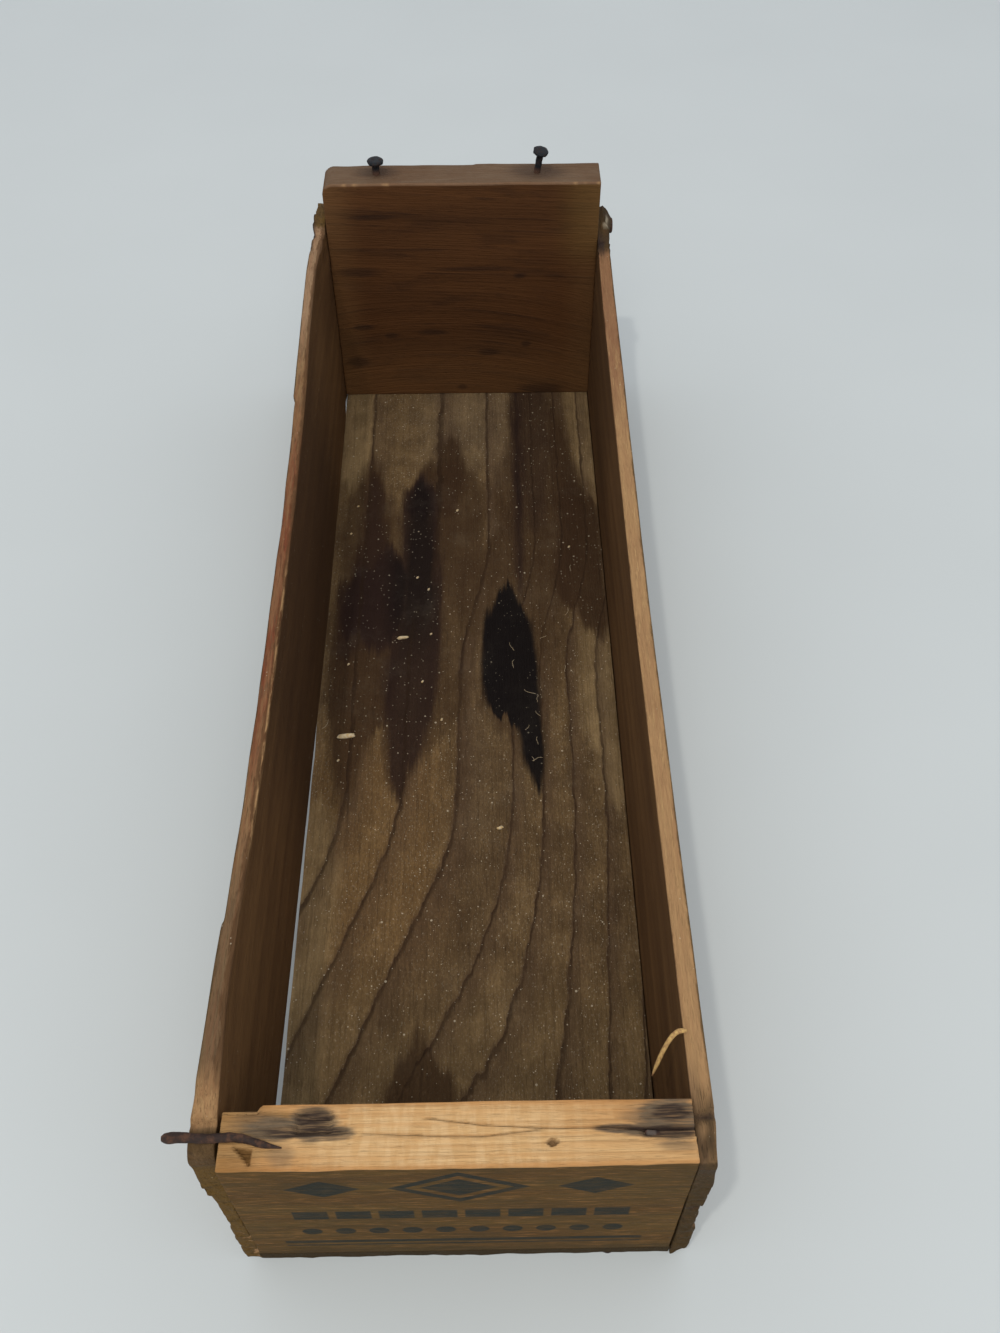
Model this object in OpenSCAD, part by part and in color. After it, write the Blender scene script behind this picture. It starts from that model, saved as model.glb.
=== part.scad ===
// Old wooden cheese crate, lidless and broken down at the front and sides.
// Two thick end boards stand on a thin bottom board, and a thin side board is nailed
// over their ends on each side. The rear end board has kept its full height.
// X runs across the crate, Y along it from the front end to the rear, Z up.
// The origin is in the middle of the underside. All sizes are in millimetres.

/* [Crate] */
// Width between the side boards, which is the length of each end board
inner_w = 85; // [60:0.5:130]
// Length over both end boards
crate_len = 293.5; // [200:0.5:420]

/* [End boards] */
// Thickness of the end boards
end_t = 11.8; // [10:0.1:18]
// Height of the front board's broken top above the underside
front_top = 57; // [48:0.5:70]
// Height of the rear board's top above the underside
rear_top = 83.5; // [76:0.5:110]
// Radius to which the rear board's left upper corner is worn
rear_corner_r = 3; // [1:0.5:5]
// Diameter of the empty nail hole in the front board's top
old_hole_d = 1.6; // [1:0.1:2.4]
// Depth of the empty nail hole
old_hole_depth = 4; // [2:0.5:8]
// Distance of the empty nail hole from the right end of the front board
old_hole_inset = 25.6; // [15:0.1:30]
// Distance of the empty nail hole from the front face
old_hole_setback = 4.3; // [3:0.1:5]

/* [Bottom board] */
// Thickness of the bottom board
bottom_t = 4.5; // [3:0.1:8]
// Gap between the bottom board's left edge and the line of the end boards' left ends
bottom_left_gap = 1.2; // [0.1:0.1:2]
// Gap between the bottom board's right edge and the line of the end boards' right ends
bottom_right_gap = 0.3; // [0.1:0.1:2]

/* [Side boards] */
// Thickness of the side boards
side_t = 3.5; // [2.5:0.1:6]
// Gap between the left side board and the end boards, where it has sprung away
left_gap = 0.9; // [0.1:0.1:2]
// Height of the left side's lower edge above the underside
left_base = 1.5; // [0:0.1:3]
// Height of the left side's top, behind its worn front corner
left_top_front = 60; // [50:0.5:70]
// Height of the left side's top at mid-length
left_top_mid = 58; // [50:0.5:70]
// Height that the left side's top climbs to at the rear
left_top_rear = 67; // [55:0.5:70]
// Height of the stub round the left side's rear upper nail
left_stub_top = 71; // [70:0.5:75]
// How far the left side's front end is worn back at its top
left_end_wear = 4; // [0.5:0.5:8]
// Length of the worn slope at the left side's front upper corner
left_corner_len = 14; // [10:0.5:25]
// Height of the right side's top at the front
right_top_front = 56; // [50:0.5:70]
// Height of the right side's top at mid-length
right_top_mid = 55.6; // [50:0.5:70]
// Height that the right side's top climbs to at the rear
right_top_rear = 64; // [55:0.5:67]
// Height of the stub round the right side's rear upper nail
right_stub_top = 68.5; // [68:0.5:75]
// Length of the stub at each side's rear upper corner
stub_len = 8.5; // [7:0.5:14]
// Length over which a side's top steps up to its stub
stub_step = 3; // [1:0.5:6]

/* [Nails] */
// Shank diameter of every nail
nail_d = 1.8; // [1.2:0.1:2.4]
// Length of a whole nail under its head
nail_len = 28; // [20:0.5:34]
// Length of a nail's point
nail_point = 3; // [2:0.5:5]
// Diameter of a nail's head
head_d = 4.6; // [3.6:0.1:5.6]
// Thickness of a nail's head
head_t = 0.8; // [0.5:0.1:1.2]
// Depth to which a driven nail's head sinks into the wood
head_sink = 0.6; // [0.2:0.1:1]
// Radial clearance between a nail and its hole
nail_fit = 0.02; // [0.01:0.01:0.1]

/* [Nail places] */
// Height of the lower side nails above the bottom board
low_nail_rise = 9; // [7:0.5:12]
// Height of the middle side nails above the bottom board
mid_nail_rise = 32; // [24:0.5:36]
// Distance of the rear upper nails below the tops of the stubs
stub_nail_drop = 4.5; // [3:0.5:6]
// How far the head of the left rear upper nail stands off the side
left_nail_proud = 0.5; // [0.1:0.1:3]
// How far the head of the right rear upper nail stands off the side
right_nail_proud = 0.9; // [0.1:0.1:3]
// Distance of the rear side nails from the rear face
rear_nail_inset = 3.4; // [2.6:0.1:3.5]
// Distance of the bottom nails from the faces of the end boards that they pass nearest
bottom_nail_setback = 3; // [2.6:0.1:3.4]
// Distance of the outer bottom nails from the ends of the end boards
bottom_nail_inset = 12.5; // [8:0.5:20]
// Distance from the front face of the one bottom nail that was driven too near it
stray_nail_setback = 1.7; // [1.5:0.1:2.5]
// Distance of the left lid nail from the rear board's left end
left_lid_nail_inset = 16.5; // [8:0.5:26]
// Distance of the right lid nail from the rear board's right end
right_lid_nail_inset = 19.1; // [8:0.5:26]
// Height of the left lid nail's head above the rear board
left_lid_nail_rise = 4.2; // [2:0.1:10]
// Height of the right lid nail's head above the rear board
right_lid_nail_rise = 6.1; // [2:0.1:10]
// Lean of the right lid nail towards the right
right_lid_nail_lean = 6; // [0:1:10]

/* [Bared front nails] */
// Height of the bent nail's axis above the front board's broken top
bent_nail_rise = 0.3; // [-0.5:0.1:0.7]
// How far the bent nail reaches past the left side
bent_nail_reach = 5.8; // [2:0.2:10]
// Distance of the bent nail's elbow from the front board's left end
bent_nail_elbow = 2; // [1:0.2:6]
// Angle of the bend
bent_nail_angle = 13; // [5:1:20]
// Radius of the bend
bent_nail_radius = 9; // [6:0.5:14]
// How much thicker the nail is where the bend has upset it
bend_swell = 0.1; // [0.1:0.05:0.3]
// Length of the nail past the bend, with its point
bent_nail_tail = 7.5; // [5:0.5:10]
// Depth of the broken nail's axis below the front board's broken top
broken_nail_depth = 0.4; // [-0.4:0.1:1]
// How far the broken nail reaches into the front board
broken_nail_len = 9; // [5:0.5:16]
// Distance of the broken nail's outer end from the right side's outer face
broken_nail_recess = 0.8; // [0.2:0.1:3]

/* [Hidden] */
$fn = 48;

end_wood = [0.52, 0.36, 0.20];
rear_wood = [0.30, 0.18, 0.10];
side_wood = [0.55, 0.37, 0.21];
bottom_wood = [0.30, 0.24, 0.16];
rust = [0.24, 0.17, 0.14];
blackened = [0.10, 0.11, 0.12];

// Extra length of a cutting shape, so that it runs clear of the surface that it cuts
cut = 20;
// Radius of the flat at the tip of a nail's point
point_r = 0.15;
// Spare depth of a hole past its nail's point
hole_spare = 0.2;
// Length of the bent nail's straight parts that lies inside its bend
bend_lap = 0.4;
// Straight pieces in a side's curved top
top_steps = 16;
// Straight pieces in the worn front end of the left side
wear_steps = 6;

front_face = -crate_len / 2;
rear_face = crate_len / 2;
left_end = -inner_w / 2;
right_end = inner_w / 2;
left_inside = left_end - left_gap;
left_outside = left_inside - side_t;
right_inside = right_end;
right_outside = right_inside + side_t;

front_nail_y = front_face + end_t / 2;
rear_nail_y = rear_face - rear_nail_inset;
lid_nail_y = rear_face - end_t / 2;
front_bottom_y = front_face + bottom_nail_setback;
rear_bottom_y = rear_face - end_t + bottom_nail_setback;
stray_nail_y = front_face + stray_nail_setback;
low_nail_z = bottom_t + low_nail_rise;
mid_nail_z = bottom_t + mid_nail_rise;
left_upper_z = left_stub_top - stub_nail_drop;
right_upper_z = right_stub_top - stub_nail_drop;
left_bottom_x = left_end + bottom_nail_inset;
right_bottom_x = right_end - bottom_nail_inset;
bent_nail_z = front_top + bent_nail_rise;
broken_nail_z = front_top - broken_nail_depth;

// Height of a curved top at a share s of its length, through its front, middle and rear heights
function curved_top(s, front, mid, rear) =
    front * (1 - s) * (1 - 2 * s) + mid * 4 * s * (1 - s) + rear * s * (2 * s - 1);

// Points along a side's top, from the start of its curve back to the foot of its stub
function top_line(start, front, mid, rear) =
    let (stop = crate_len - stub_len - stub_step)
    [for (i = [0:top_steps])
        let (y = start + (stop - start) * i / top_steps)
        [y, curved_top(y / stop, front, mid, rear)]];

// Stub and lower edge of a side, which close the outline after its top
function stub_and_base(stub_top, base) = [
    [crate_len - stub_len, stub_top],
    [crate_len, stub_top],
    [crate_len, base]
];

// Worn front end of the left side, from its foot up to the start of its worn corner
function worn_end() =
    [for (i = [0:wear_steps])
        let (s = i / wear_steps)
        [left_end_wear * pow(s, 3), left_base + (front_top - left_base) * s]];

left_outline = concat(
    worn_end(),
    top_line(left_corner_len, left_top_front, left_top_mid, left_top_rear),
    stub_and_base(left_stub_top, left_base));
right_outline = concat(
    [[0, 0]],
    top_line(0, right_top_front, right_top_mid, right_top_rear),
    stub_and_base(right_stub_top, 0));

// Nail along +Z, with the underside of its head at the origin
module nail() {
    rotate_extrude()
        polygon([
            [0, -head_t],
            [head_d / 2, -head_t],
            [head_d / 2, 0],
            [nail_d / 2, 0],
            [nail_d / 2, nail_len - nail_point],
            [point_r, nail_len],
            [0, nail_len]
        ]);
}

// Hole for a nail along +Z, opened out for its head
module nail_hole() {
    rotate_extrude()
        polygon([
            [0, -cut],
            [head_d / 2 + nail_fit, -cut],
            [head_d / 2 + nail_fit, 0],
            [nail_d / 2 + nail_fit, 0],
            [nail_d / 2 + nail_fit, nail_len + hole_spare],
            [0, nail_len + hole_spare]
        ]);
}

// Place of a nail driven through the left side
module through_left(y, z, sink = head_sink) {
    translate([left_outside + sink, y, z])
        rotate([0, 90, 0])
            children();
}

// Place of a nail driven through the right side
module through_right(y, z, sink = head_sink) {
    translate([right_outside - sink, y, z])
        rotate([0, -90, 0])
            children();
}

// Place of a nail driven up through the bottom board
module through_bottom(x, y) {
    translate([x, y, head_sink])
        children();
}

// Place of a lid nail standing in the rear board's top, leaning about the point where it enters
module in_rear_top(x, rise, lean = 0) {
    translate([x, lid_nail_y, rear_top])
        rotate([0, lean, 0])
            translate([0, 0, rise - head_t])
                rotate([180, 0, 0])
                    children();
}

// Bent nail's shank, swollen bend and tail, as a rod of the given diameter
module bent_rod(d, tail_end_d) {
    shank = bent_nail_elbow + left_end - left_outside + bent_nail_reach;
    tail = bent_nail_tail - nail_point;
    translate([left_end + bent_nail_elbow, front_nail_y - bent_nail_radius, bent_nail_z]) {
        translate([bend_lap, bent_nail_radius, 0])
            rotate([0, -90, 0])
                cylinder(d = d, h = shank + bend_lap);
        rotate([0, 0, 90 - bent_nail_angle])
            rotate_extrude(angle = bent_nail_angle)
                translate([bent_nail_radius, 0])
                    circle(d = d + bend_swell);
        rotate([0, 0, -bent_nail_angle])
            translate([-bend_lap, bent_nail_radius, 0])
                rotate([0, 90, 0])
                    rotate_extrude()
                        polygon([
                            [0, 0],
                            [d / 2, 0],
                            [d / 2, bend_lap + tail],
                            [tail_end_d / 2, bend_lap + bent_nail_tail],
                            [0, bend_lap + bent_nail_tail]
                        ]);
    }
}

// Broken nail's shank, as a rod of the given diameter
module broken_rod(d, spare = 0) {
    inner_x = right_end - broken_nail_len - spare;
    outer_x = right_outside - broken_nail_recess + spare;
    translate([inner_x, front_nail_y, broken_nail_z])
        rotate([0, 90, 0])
            cylinder(d = d, h = outer_x - inner_x);
}

// Holes of the nails in the left side
module left_nail_holes() {
    for (z = [low_nail_z, mid_nail_z]) {
        through_left(front_nail_y, z) nail_hole();
        through_left(rear_nail_y, z) nail_hole();
    }
    through_left(rear_nail_y, left_upper_z, -left_nail_proud) nail_hole();
}

// Holes of the nails in the right side
module right_nail_holes() {
    for (z = [low_nail_z, mid_nail_z]) {
        through_right(front_nail_y, z) nail_hole();
        through_right(rear_nail_y, z) nail_hole();
    }
    through_right(rear_nail_y, right_upper_z, -right_nail_proud) nail_hole();
}

// Holes of the nails driven up through the bottom board
module bottom_nail_holes() {
    for (x = [left_bottom_x, 0]) {
        through_bottom(x, front_bottom_y) nail_hole();
    }
    through_bottom(right_bottom_x, stray_nail_y) nail_hole();
    for (x = [left_bottom_x, 0, right_bottom_x]) {
        through_bottom(x, rear_bottom_y) nail_hole();
    }
}

// Grooves that the bared nails leave in the front board and the sides
module bared_nail_grooves() {
    groove_d = nail_d + 2 * nail_fit;
    bent_rod(groove_d, groove_d);
    broken_rod(groove_d, hole_spare);
}

// Bottom board, which runs under both end boards
module bottom_board() {
    color(bottom_wood)
        difference() {
            translate([left_end + bottom_left_gap, front_face, 0])
                cube([inner_w - bottom_left_gap - bottom_right_gap, crate_len, bottom_t]);
            bottom_nail_holes();
        }
}

// Front end board, broken off along the row of its upper nails
module front_end_board() {
    color(end_wood)
        difference() {
            translate([left_end, front_face, bottom_t])
                cube([inner_w, end_t, front_top - bottom_t]);
            left_nail_holes();
            right_nail_holes();
            bottom_nail_holes();
            bared_nail_grooves();
            translate([right_end - old_hole_inset, front_face + old_hole_setback, front_top - old_hole_depth])
                cylinder(d = old_hole_d, h = old_hole_depth + cut);
        }
}

// Rear end board before its holes, with its left upper corner worn round
module rear_blank() {
    translate([0, rear_face, 0])
        rotate([90, 0, 0])
            linear_extrude(end_t)
                difference() {
                    translate([left_end, bottom_t])
                        square([inner_w, rear_top - bottom_t]);
                    difference() {
                        translate([left_end - rear_corner_r, rear_top - rear_corner_r])
                            square(2 * rear_corner_r);
                        translate([left_end + rear_corner_r, rear_top - rear_corner_r])
                            circle(rear_corner_r);
                    }
                }
}

// Rear end board, which has kept its full height
module rear_end_board() {
    color(rear_wood)
        difference() {
            rear_blank();
            left_nail_holes();
            right_nail_holes();
            bottom_nail_holes();
            in_rear_top(left_end + left_lid_nail_inset, left_lid_nail_rise) nail_hole();
            in_rear_top(right_end - right_lid_nail_inset, right_lid_nail_rise, right_lid_nail_lean) nail_hole();
        }
}

// Flat side board from its outline along the crate, with its inner face on the plane x = 0
module side_blank(outline) {
    translate([0, front_face, 0])
        rotate([90, 0, 90])
            linear_extrude(side_t)
                polygon(outline);
}

// Left side board, which stands a little off the end boards
module left_side_board() {
    color(side_wood)
        difference() {
            translate([left_outside, 0, 0])
                side_blank(left_outline);
            left_nail_holes();
            bared_nail_grooves();
        }
}

// Right side board
module right_side_board() {
    color(side_wood)
        difference() {
            translate([right_inside, 0, 0])
                side_blank(right_outline);
            right_nail_holes();
            bared_nail_grooves();
        }
}

// Bared upper nail at the front left, headless and bent towards the front face
module bent_nail() {
    color(rust) bent_rod(nail_d, 2 * point_r);
}

// Bared upper nail at the front right, broken off at both ends
module broken_nail() {
    color(rust) broken_rod(nail_d);
}

// Nail through the left side
module left_nail(y, z, sink = head_sink) {
    color(rust) through_left(y, z, sink) nail();
}

// Nail through the right side
module right_nail(y, z, sink = head_sink) {
    color(rust) through_right(y, z, sink) nail();
}

// Nail up through the bottom board
module bottom_nail(x, y) {
    color(rust) through_bottom(x, y) nail();
}

// Left lid nail, standing straight
module left_lid_nail() {
    color(blackened)
        in_rear_top(left_end + left_lid_nail_inset, left_lid_nail_rise) nail();
}

// Right lid nail, standing higher and leaning
module right_lid_nail() {
    color(blackened)
        in_rear_top(right_end - right_lid_nail_inset, right_lid_nail_rise, right_lid_nail_lean) nail();
}

bottom_board();
front_end_board();
rear_end_board();
left_side_board();
right_side_board();
bent_nail();  // front_left_bent_nail
left_nail(front_nail_y, mid_nail_z);  // front_left_middle_nail
left_nail(front_nail_y, low_nail_z);  // front_left_lower_nail
broken_nail();  // front_right_broken_nail
right_nail(front_nail_y, mid_nail_z);  // front_right_middle_nail
right_nail(front_nail_y, low_nail_z);  // front_right_lower_nail
left_nail(rear_nail_y, left_upper_z, -left_nail_proud);  // rear_left_upper_nail
left_nail(rear_nail_y, mid_nail_z);  // rear_left_middle_nail
left_nail(rear_nail_y, low_nail_z);  // rear_left_lower_nail
right_nail(rear_nail_y, right_upper_z, -right_nail_proud);  // rear_right_upper_nail
right_nail(rear_nail_y, mid_nail_z);  // rear_right_middle_nail
right_nail(rear_nail_y, low_nail_z);  // rear_right_lower_nail
bottom_nail(left_bottom_x, front_bottom_y);  // front_bottom_left_nail
bottom_nail(0, front_bottom_y);  // front_bottom_middle_nail
bottom_nail(right_bottom_x, stray_nail_y);  // front_bottom_right_nail
bottom_nail(left_bottom_x, rear_bottom_y);  // rear_bottom_left_nail
bottom_nail(0, rear_bottom_y);  // rear_bottom_middle_nail
bottom_nail(right_bottom_x, rear_bottom_y);  // rear_bottom_right_nail
left_lid_nail();
right_lid_nail();
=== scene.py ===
"""Looks of an old wooden cheese crate that has lost its lid and the tops of its front and sides.

The frame is X across the crate, Y along it from the front end to the rear, and Z up from the
surface that it stands on. Shapes and patterns are worked out in millimetres in that frame, and a
place along the crate is often given from its front face.
"""

import math
from types import SimpleNamespace

import bmesh
import bpy
import numpy as np
from bpy.props import FloatProperty, FloatVectorProperty, PointerProperty
from mathutils import Matrix, Vector, noise


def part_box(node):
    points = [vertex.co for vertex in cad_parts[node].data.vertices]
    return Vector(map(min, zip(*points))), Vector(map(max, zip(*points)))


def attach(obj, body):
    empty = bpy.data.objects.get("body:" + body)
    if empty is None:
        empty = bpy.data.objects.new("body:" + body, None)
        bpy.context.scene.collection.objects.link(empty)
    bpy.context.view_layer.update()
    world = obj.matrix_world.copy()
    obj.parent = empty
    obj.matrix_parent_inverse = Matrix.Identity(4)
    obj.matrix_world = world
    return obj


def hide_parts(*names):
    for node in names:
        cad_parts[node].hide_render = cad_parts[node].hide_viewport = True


bl_info = {
    "name": "Old Cheese Crate",
    "version": (1, 0, 0),
    "blender": (4, 5, 0),
    "location": "View3D > Sidebar > Crate",
    "description": "Builds the worn boards, rusty nails and studio of an old nailed cheese crate",
    "category": "Add Mesh",
}

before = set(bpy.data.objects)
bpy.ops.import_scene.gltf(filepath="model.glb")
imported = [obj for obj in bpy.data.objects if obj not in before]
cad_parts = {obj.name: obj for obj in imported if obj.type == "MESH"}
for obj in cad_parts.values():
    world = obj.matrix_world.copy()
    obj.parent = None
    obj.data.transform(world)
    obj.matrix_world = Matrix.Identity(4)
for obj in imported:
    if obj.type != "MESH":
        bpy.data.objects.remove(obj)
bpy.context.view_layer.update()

MM = 0.001
BODY = "root"
FRONT_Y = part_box("front_end_board")[0].y / MM
END_T = (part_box("front_end_board")[1].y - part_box("front_end_board")[0].y) / MM


# Settings


def tint(red, green, blue):
    """Linear colour from the levels, 0 to 255, that it shows on a screen."""
    def linear(level):
        share = level / 255
        return share / 12.92 if share <= 0.04045 else ((share + 0.055) / 1.055) ** 2.4
    return tuple(linear(level) for level in (red, green, blue))


def colour(name, description, levels):
    """Colour setting with its default in screen levels."""
    return FloatVectorProperty(
        name=name, description=description, subtype="COLOR", size=3, min=0.0, max=1.0, default=tint(*levels))


def length(name, description, size):
    """Length setting with its default in millimetres."""
    return FloatProperty(name=name, description=description, unit="LENGTH", min=0.0, default=size * MM)


class CrateWear(bpy.types.PropertyGroup):
    """Sizes of the wear on the boards and nails."""

    edge_radius: length("Edge radius", "Mean radius of the boards' worn edges", 0.4)
    break_relief: length("Break relief", "Height of the fibres on a broken surface", 0.32)
    crack_depth: length("Crack depth", "Depth of the cracks in the front board's broken top", 0.55)
    ripple_depth: length("Ripple depth", "Depth of the dents along the sides' front ends", 1.3)
    sliver_width: length("Sliver width", "Width of the sliver that hangs off the right side", 1.0)
    rust_lumps: FloatProperty(
        name="Rust lumps", description="Share of a nail's radius that rust adds or eats away",
        subtype="FACTOR", min=0.0, max=0.5, default=0.14)


class CrateColours(bpy.types.PropertyGroup):
    """Colours of the wood, its stains and the nails."""

    bottom_pale: colour("Bottom, pale", "Pale wood of the bottom board", (136, 110, 74))
    bottom_dark: colour("Bottom, dark", "Dark wood of the bottom board", (102, 80, 52))
    bottom_warm: colour("Bottom, warm", "Warm wood near the bottom board's stains", (142, 106, 63))
    bottom_ring: colour("Bottom rings", "Growth rings of the bottom board", (50, 34, 22))
    bottom_plum: colour("Bottom, plum", "Late wood beside the bottom board's rings", (84, 64, 50))
    # Also painted light: lightens the bottom board's front part, and its left edge in the left side's shadow
    bottom_dust_and_light: colour("Bottom dust", "Dust along the bottom board's edges", (178, 150, 106))
    stain_brown: colour("Brown stain", "Weak stains on the bottom board", (66, 46, 30))
    stain_plum: colour("Plum stain", "Purple-brown stains on the bottom board", (50, 34, 29))
    stain_black: colour("Black stain", "Strong stains on the bottom board", (18, 14, 15))
    dust: colour("Dust", "Dust and crumbs", (212, 198, 170))
    fresh_cream: colour("Broken wood, cream", "Palest wood of the front board's break", (228, 197, 150))
    fresh_pale: colour("Broken wood, pale", "Pale wood of the front board's break", (209, 170, 118))
    fresh_warm: colour("Broken wood, warm", "Warm streaks of the front board's break", (181, 128, 75))
    front_olive: colour("Front, olive", "Olive-brown wood of the front board", (98, 75, 36))
    front_red: colour("Front, red", "Red-brown streaks of the front board", (90, 62, 28))
    weathered: colour("Weathered", "Dirt in the grain of the front and the ends", (66, 53, 31))
    ink: colour("Ink", "Faded ink on the front board", (40, 43, 38))
    rear_brown: colour("Rear, brown", "Brown wood of the rear board", (85, 53, 27))
    rear_dark: colour("Rear, dark", "Dark streaks of the rear board", (62, 38, 20))
    rear_top: colour("Rear top", "Dusty top of the rear board", (110, 90, 71))
    side_brown: colour("Side, brown", "Brown faces of the side boards", (124, 91, 56))
    side_dark: colour("Side, dark", "Dark streaks of the side boards", (86, 60, 37))
    left_top: colour("Left top", "Weathered top of the left side", (140, 113, 78))
    left_pink: colour("Left top, pink", "Rear part of the left side's top", (172, 142, 112))
    left_red: colour("Left top, red", "Red streaks in the left side's top", (118, 66, 44))
    left_grey: colour("Left top, grey", "Grey flecks in the left side's top", (94, 80, 60))
    right_top: colour("Right top", "Broken top of the right side", (172, 136, 94))
    right_warm: colour("Right top, warm", "Warm streaks in the right side's top", (138, 100, 71))
    nail_stain: colour("Nail stain", "Wood round a nail that rust has turned grey", (106, 91, 73))
    rust_dark: colour("Rust, dark", "Dark rust on the nails", (52, 41, 37))
    rust_brown: colour("Rust, brown", "Brown rust on the nails", (92, 66, 52))
    bare_iron: colour("Bare iron", "Bare end of the broken nail", (158, 148, 138))
    nail_black: colour("Nail black", "Blackened iron of the lid nails", (28, 32, 36))
    sliver: colour("Sliver", "Pale sliver on the right side", (200, 166, 104))


class CrateStage(bpy.types.PropertyGroup):
    """Floor, light and camera."""

    floor: colour("Floor", "Pale floor", (199, 205, 205))
    sky: colour("Sky", "Colour of the light from all round", (246, 249, 255))
    sky_strength: FloatProperty(
        name="Sky strength", description="Strength of the light from all round", min=0.0, default=0.76)
    lamp: colour("Lamps", "Colour of the lamps", (255, 249, 240))
    lamp_power: FloatProperty(
        name="Lamp power", description="Power of the overhead lamp", unit="POWER", min=0.0, default=4.3)
    lamp_height: length("Lamp height", "Height of the lamps above the floor", 1500)
    lamp_size: length("Lamp size", "Width of the overhead lamp", 55)
    lamp_left: length("Lamp offset", "How far left of the crate the overhead lamp hangs", 309)
    lamp_front: length("Lamp forward", "How far towards the front the overhead lamp hangs", 520)
    fill_power: FloatProperty(
        name="Fill power", description="Power of the front lamp", unit="POWER", min=0.0, default=11.0)
    fill_size: length("Fill size", "Width of the front lamp", 1100)
    fill_front: length("Fill forward", "How far in front of the crate the front lamp hangs", 1300)
    lens: FloatProperty(
        name="Focal length", description="Lens of the camera, in millimetres", min=1.0, default=33.48)
    camera_place: FloatVectorProperty(
        name="Camera place", description="Place of the camera", subtype="TRANSLATION", unit="LENGTH",
        default=(0.00691, -0.21697, 0.28045))
    camera_pitch: FloatProperty(
        name="Pitch", description="How far the camera looks down", subtype="ANGLE",
        default=math.radians(50.528))
    camera_yaw: FloatProperty(
        name="Yaw", description="How far the camera turns to the left", subtype="ANGLE",
        default=math.radians(-0.706))
    camera_roll: FloatProperty(
        name="Roll", description="How far the camera rolls", subtype="ANGLE", default=math.radians(-0.197))


# Shader graphs


class Wire:
    """Output of a shader graph, from which sums, products and colours can be made."""

    def __init__(self, graph, socket):
        self.graph = graph
        self.socket = socket

    def __add__(self, other):
        return self.graph.math("ADD", self, other)

    def __sub__(self, other):
        return self.graph.math("SUBTRACT", self, other)

    def __rsub__(self, other):
        return self.graph.math("SUBTRACT", other, self)

    def __mul__(self, other):
        return self.graph.math("MULTIPLY", self, other)

    def __truediv__(self, other):
        return self.graph.math("DIVIDE", self, other)

    def __abs__(self):
        return self.graph.math("ABSOLUTE", self)

    __radd__ = __add__
    __rmul__ = __mul__

    def rise(self, start, stop):
        """Smooth rise from 0 where this is at start to 1 where it is at stop."""
        limits = {"Value": self, "From Min": start, "From Max": stop}
        made = self.graph.node("ShaderNodeMapRange", limits, interpolation_type="SMOOTHSTEP")
        return Wire(self.graph, made.outputs["Result"])

    def between(self, start, full, fading, stop):
        """Rise from 0 at start to 1 at full, and back from 1 at fading to 0 at stop."""
        return self.rise(start, full) * self.rise(stop, fading)

    def under(self, tone, share, kind="MIX"):
        """This colour with a tone over it, by a share."""
        return self.graph.blend(share, self, tone, kind)

    def coats(self, *layers):
        """This colour under one layer after another, each with its tone and share, and how it mixes."""
        paint = self
        for layer in layers:
            paint = paint.under(*layer)
        return paint


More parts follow.
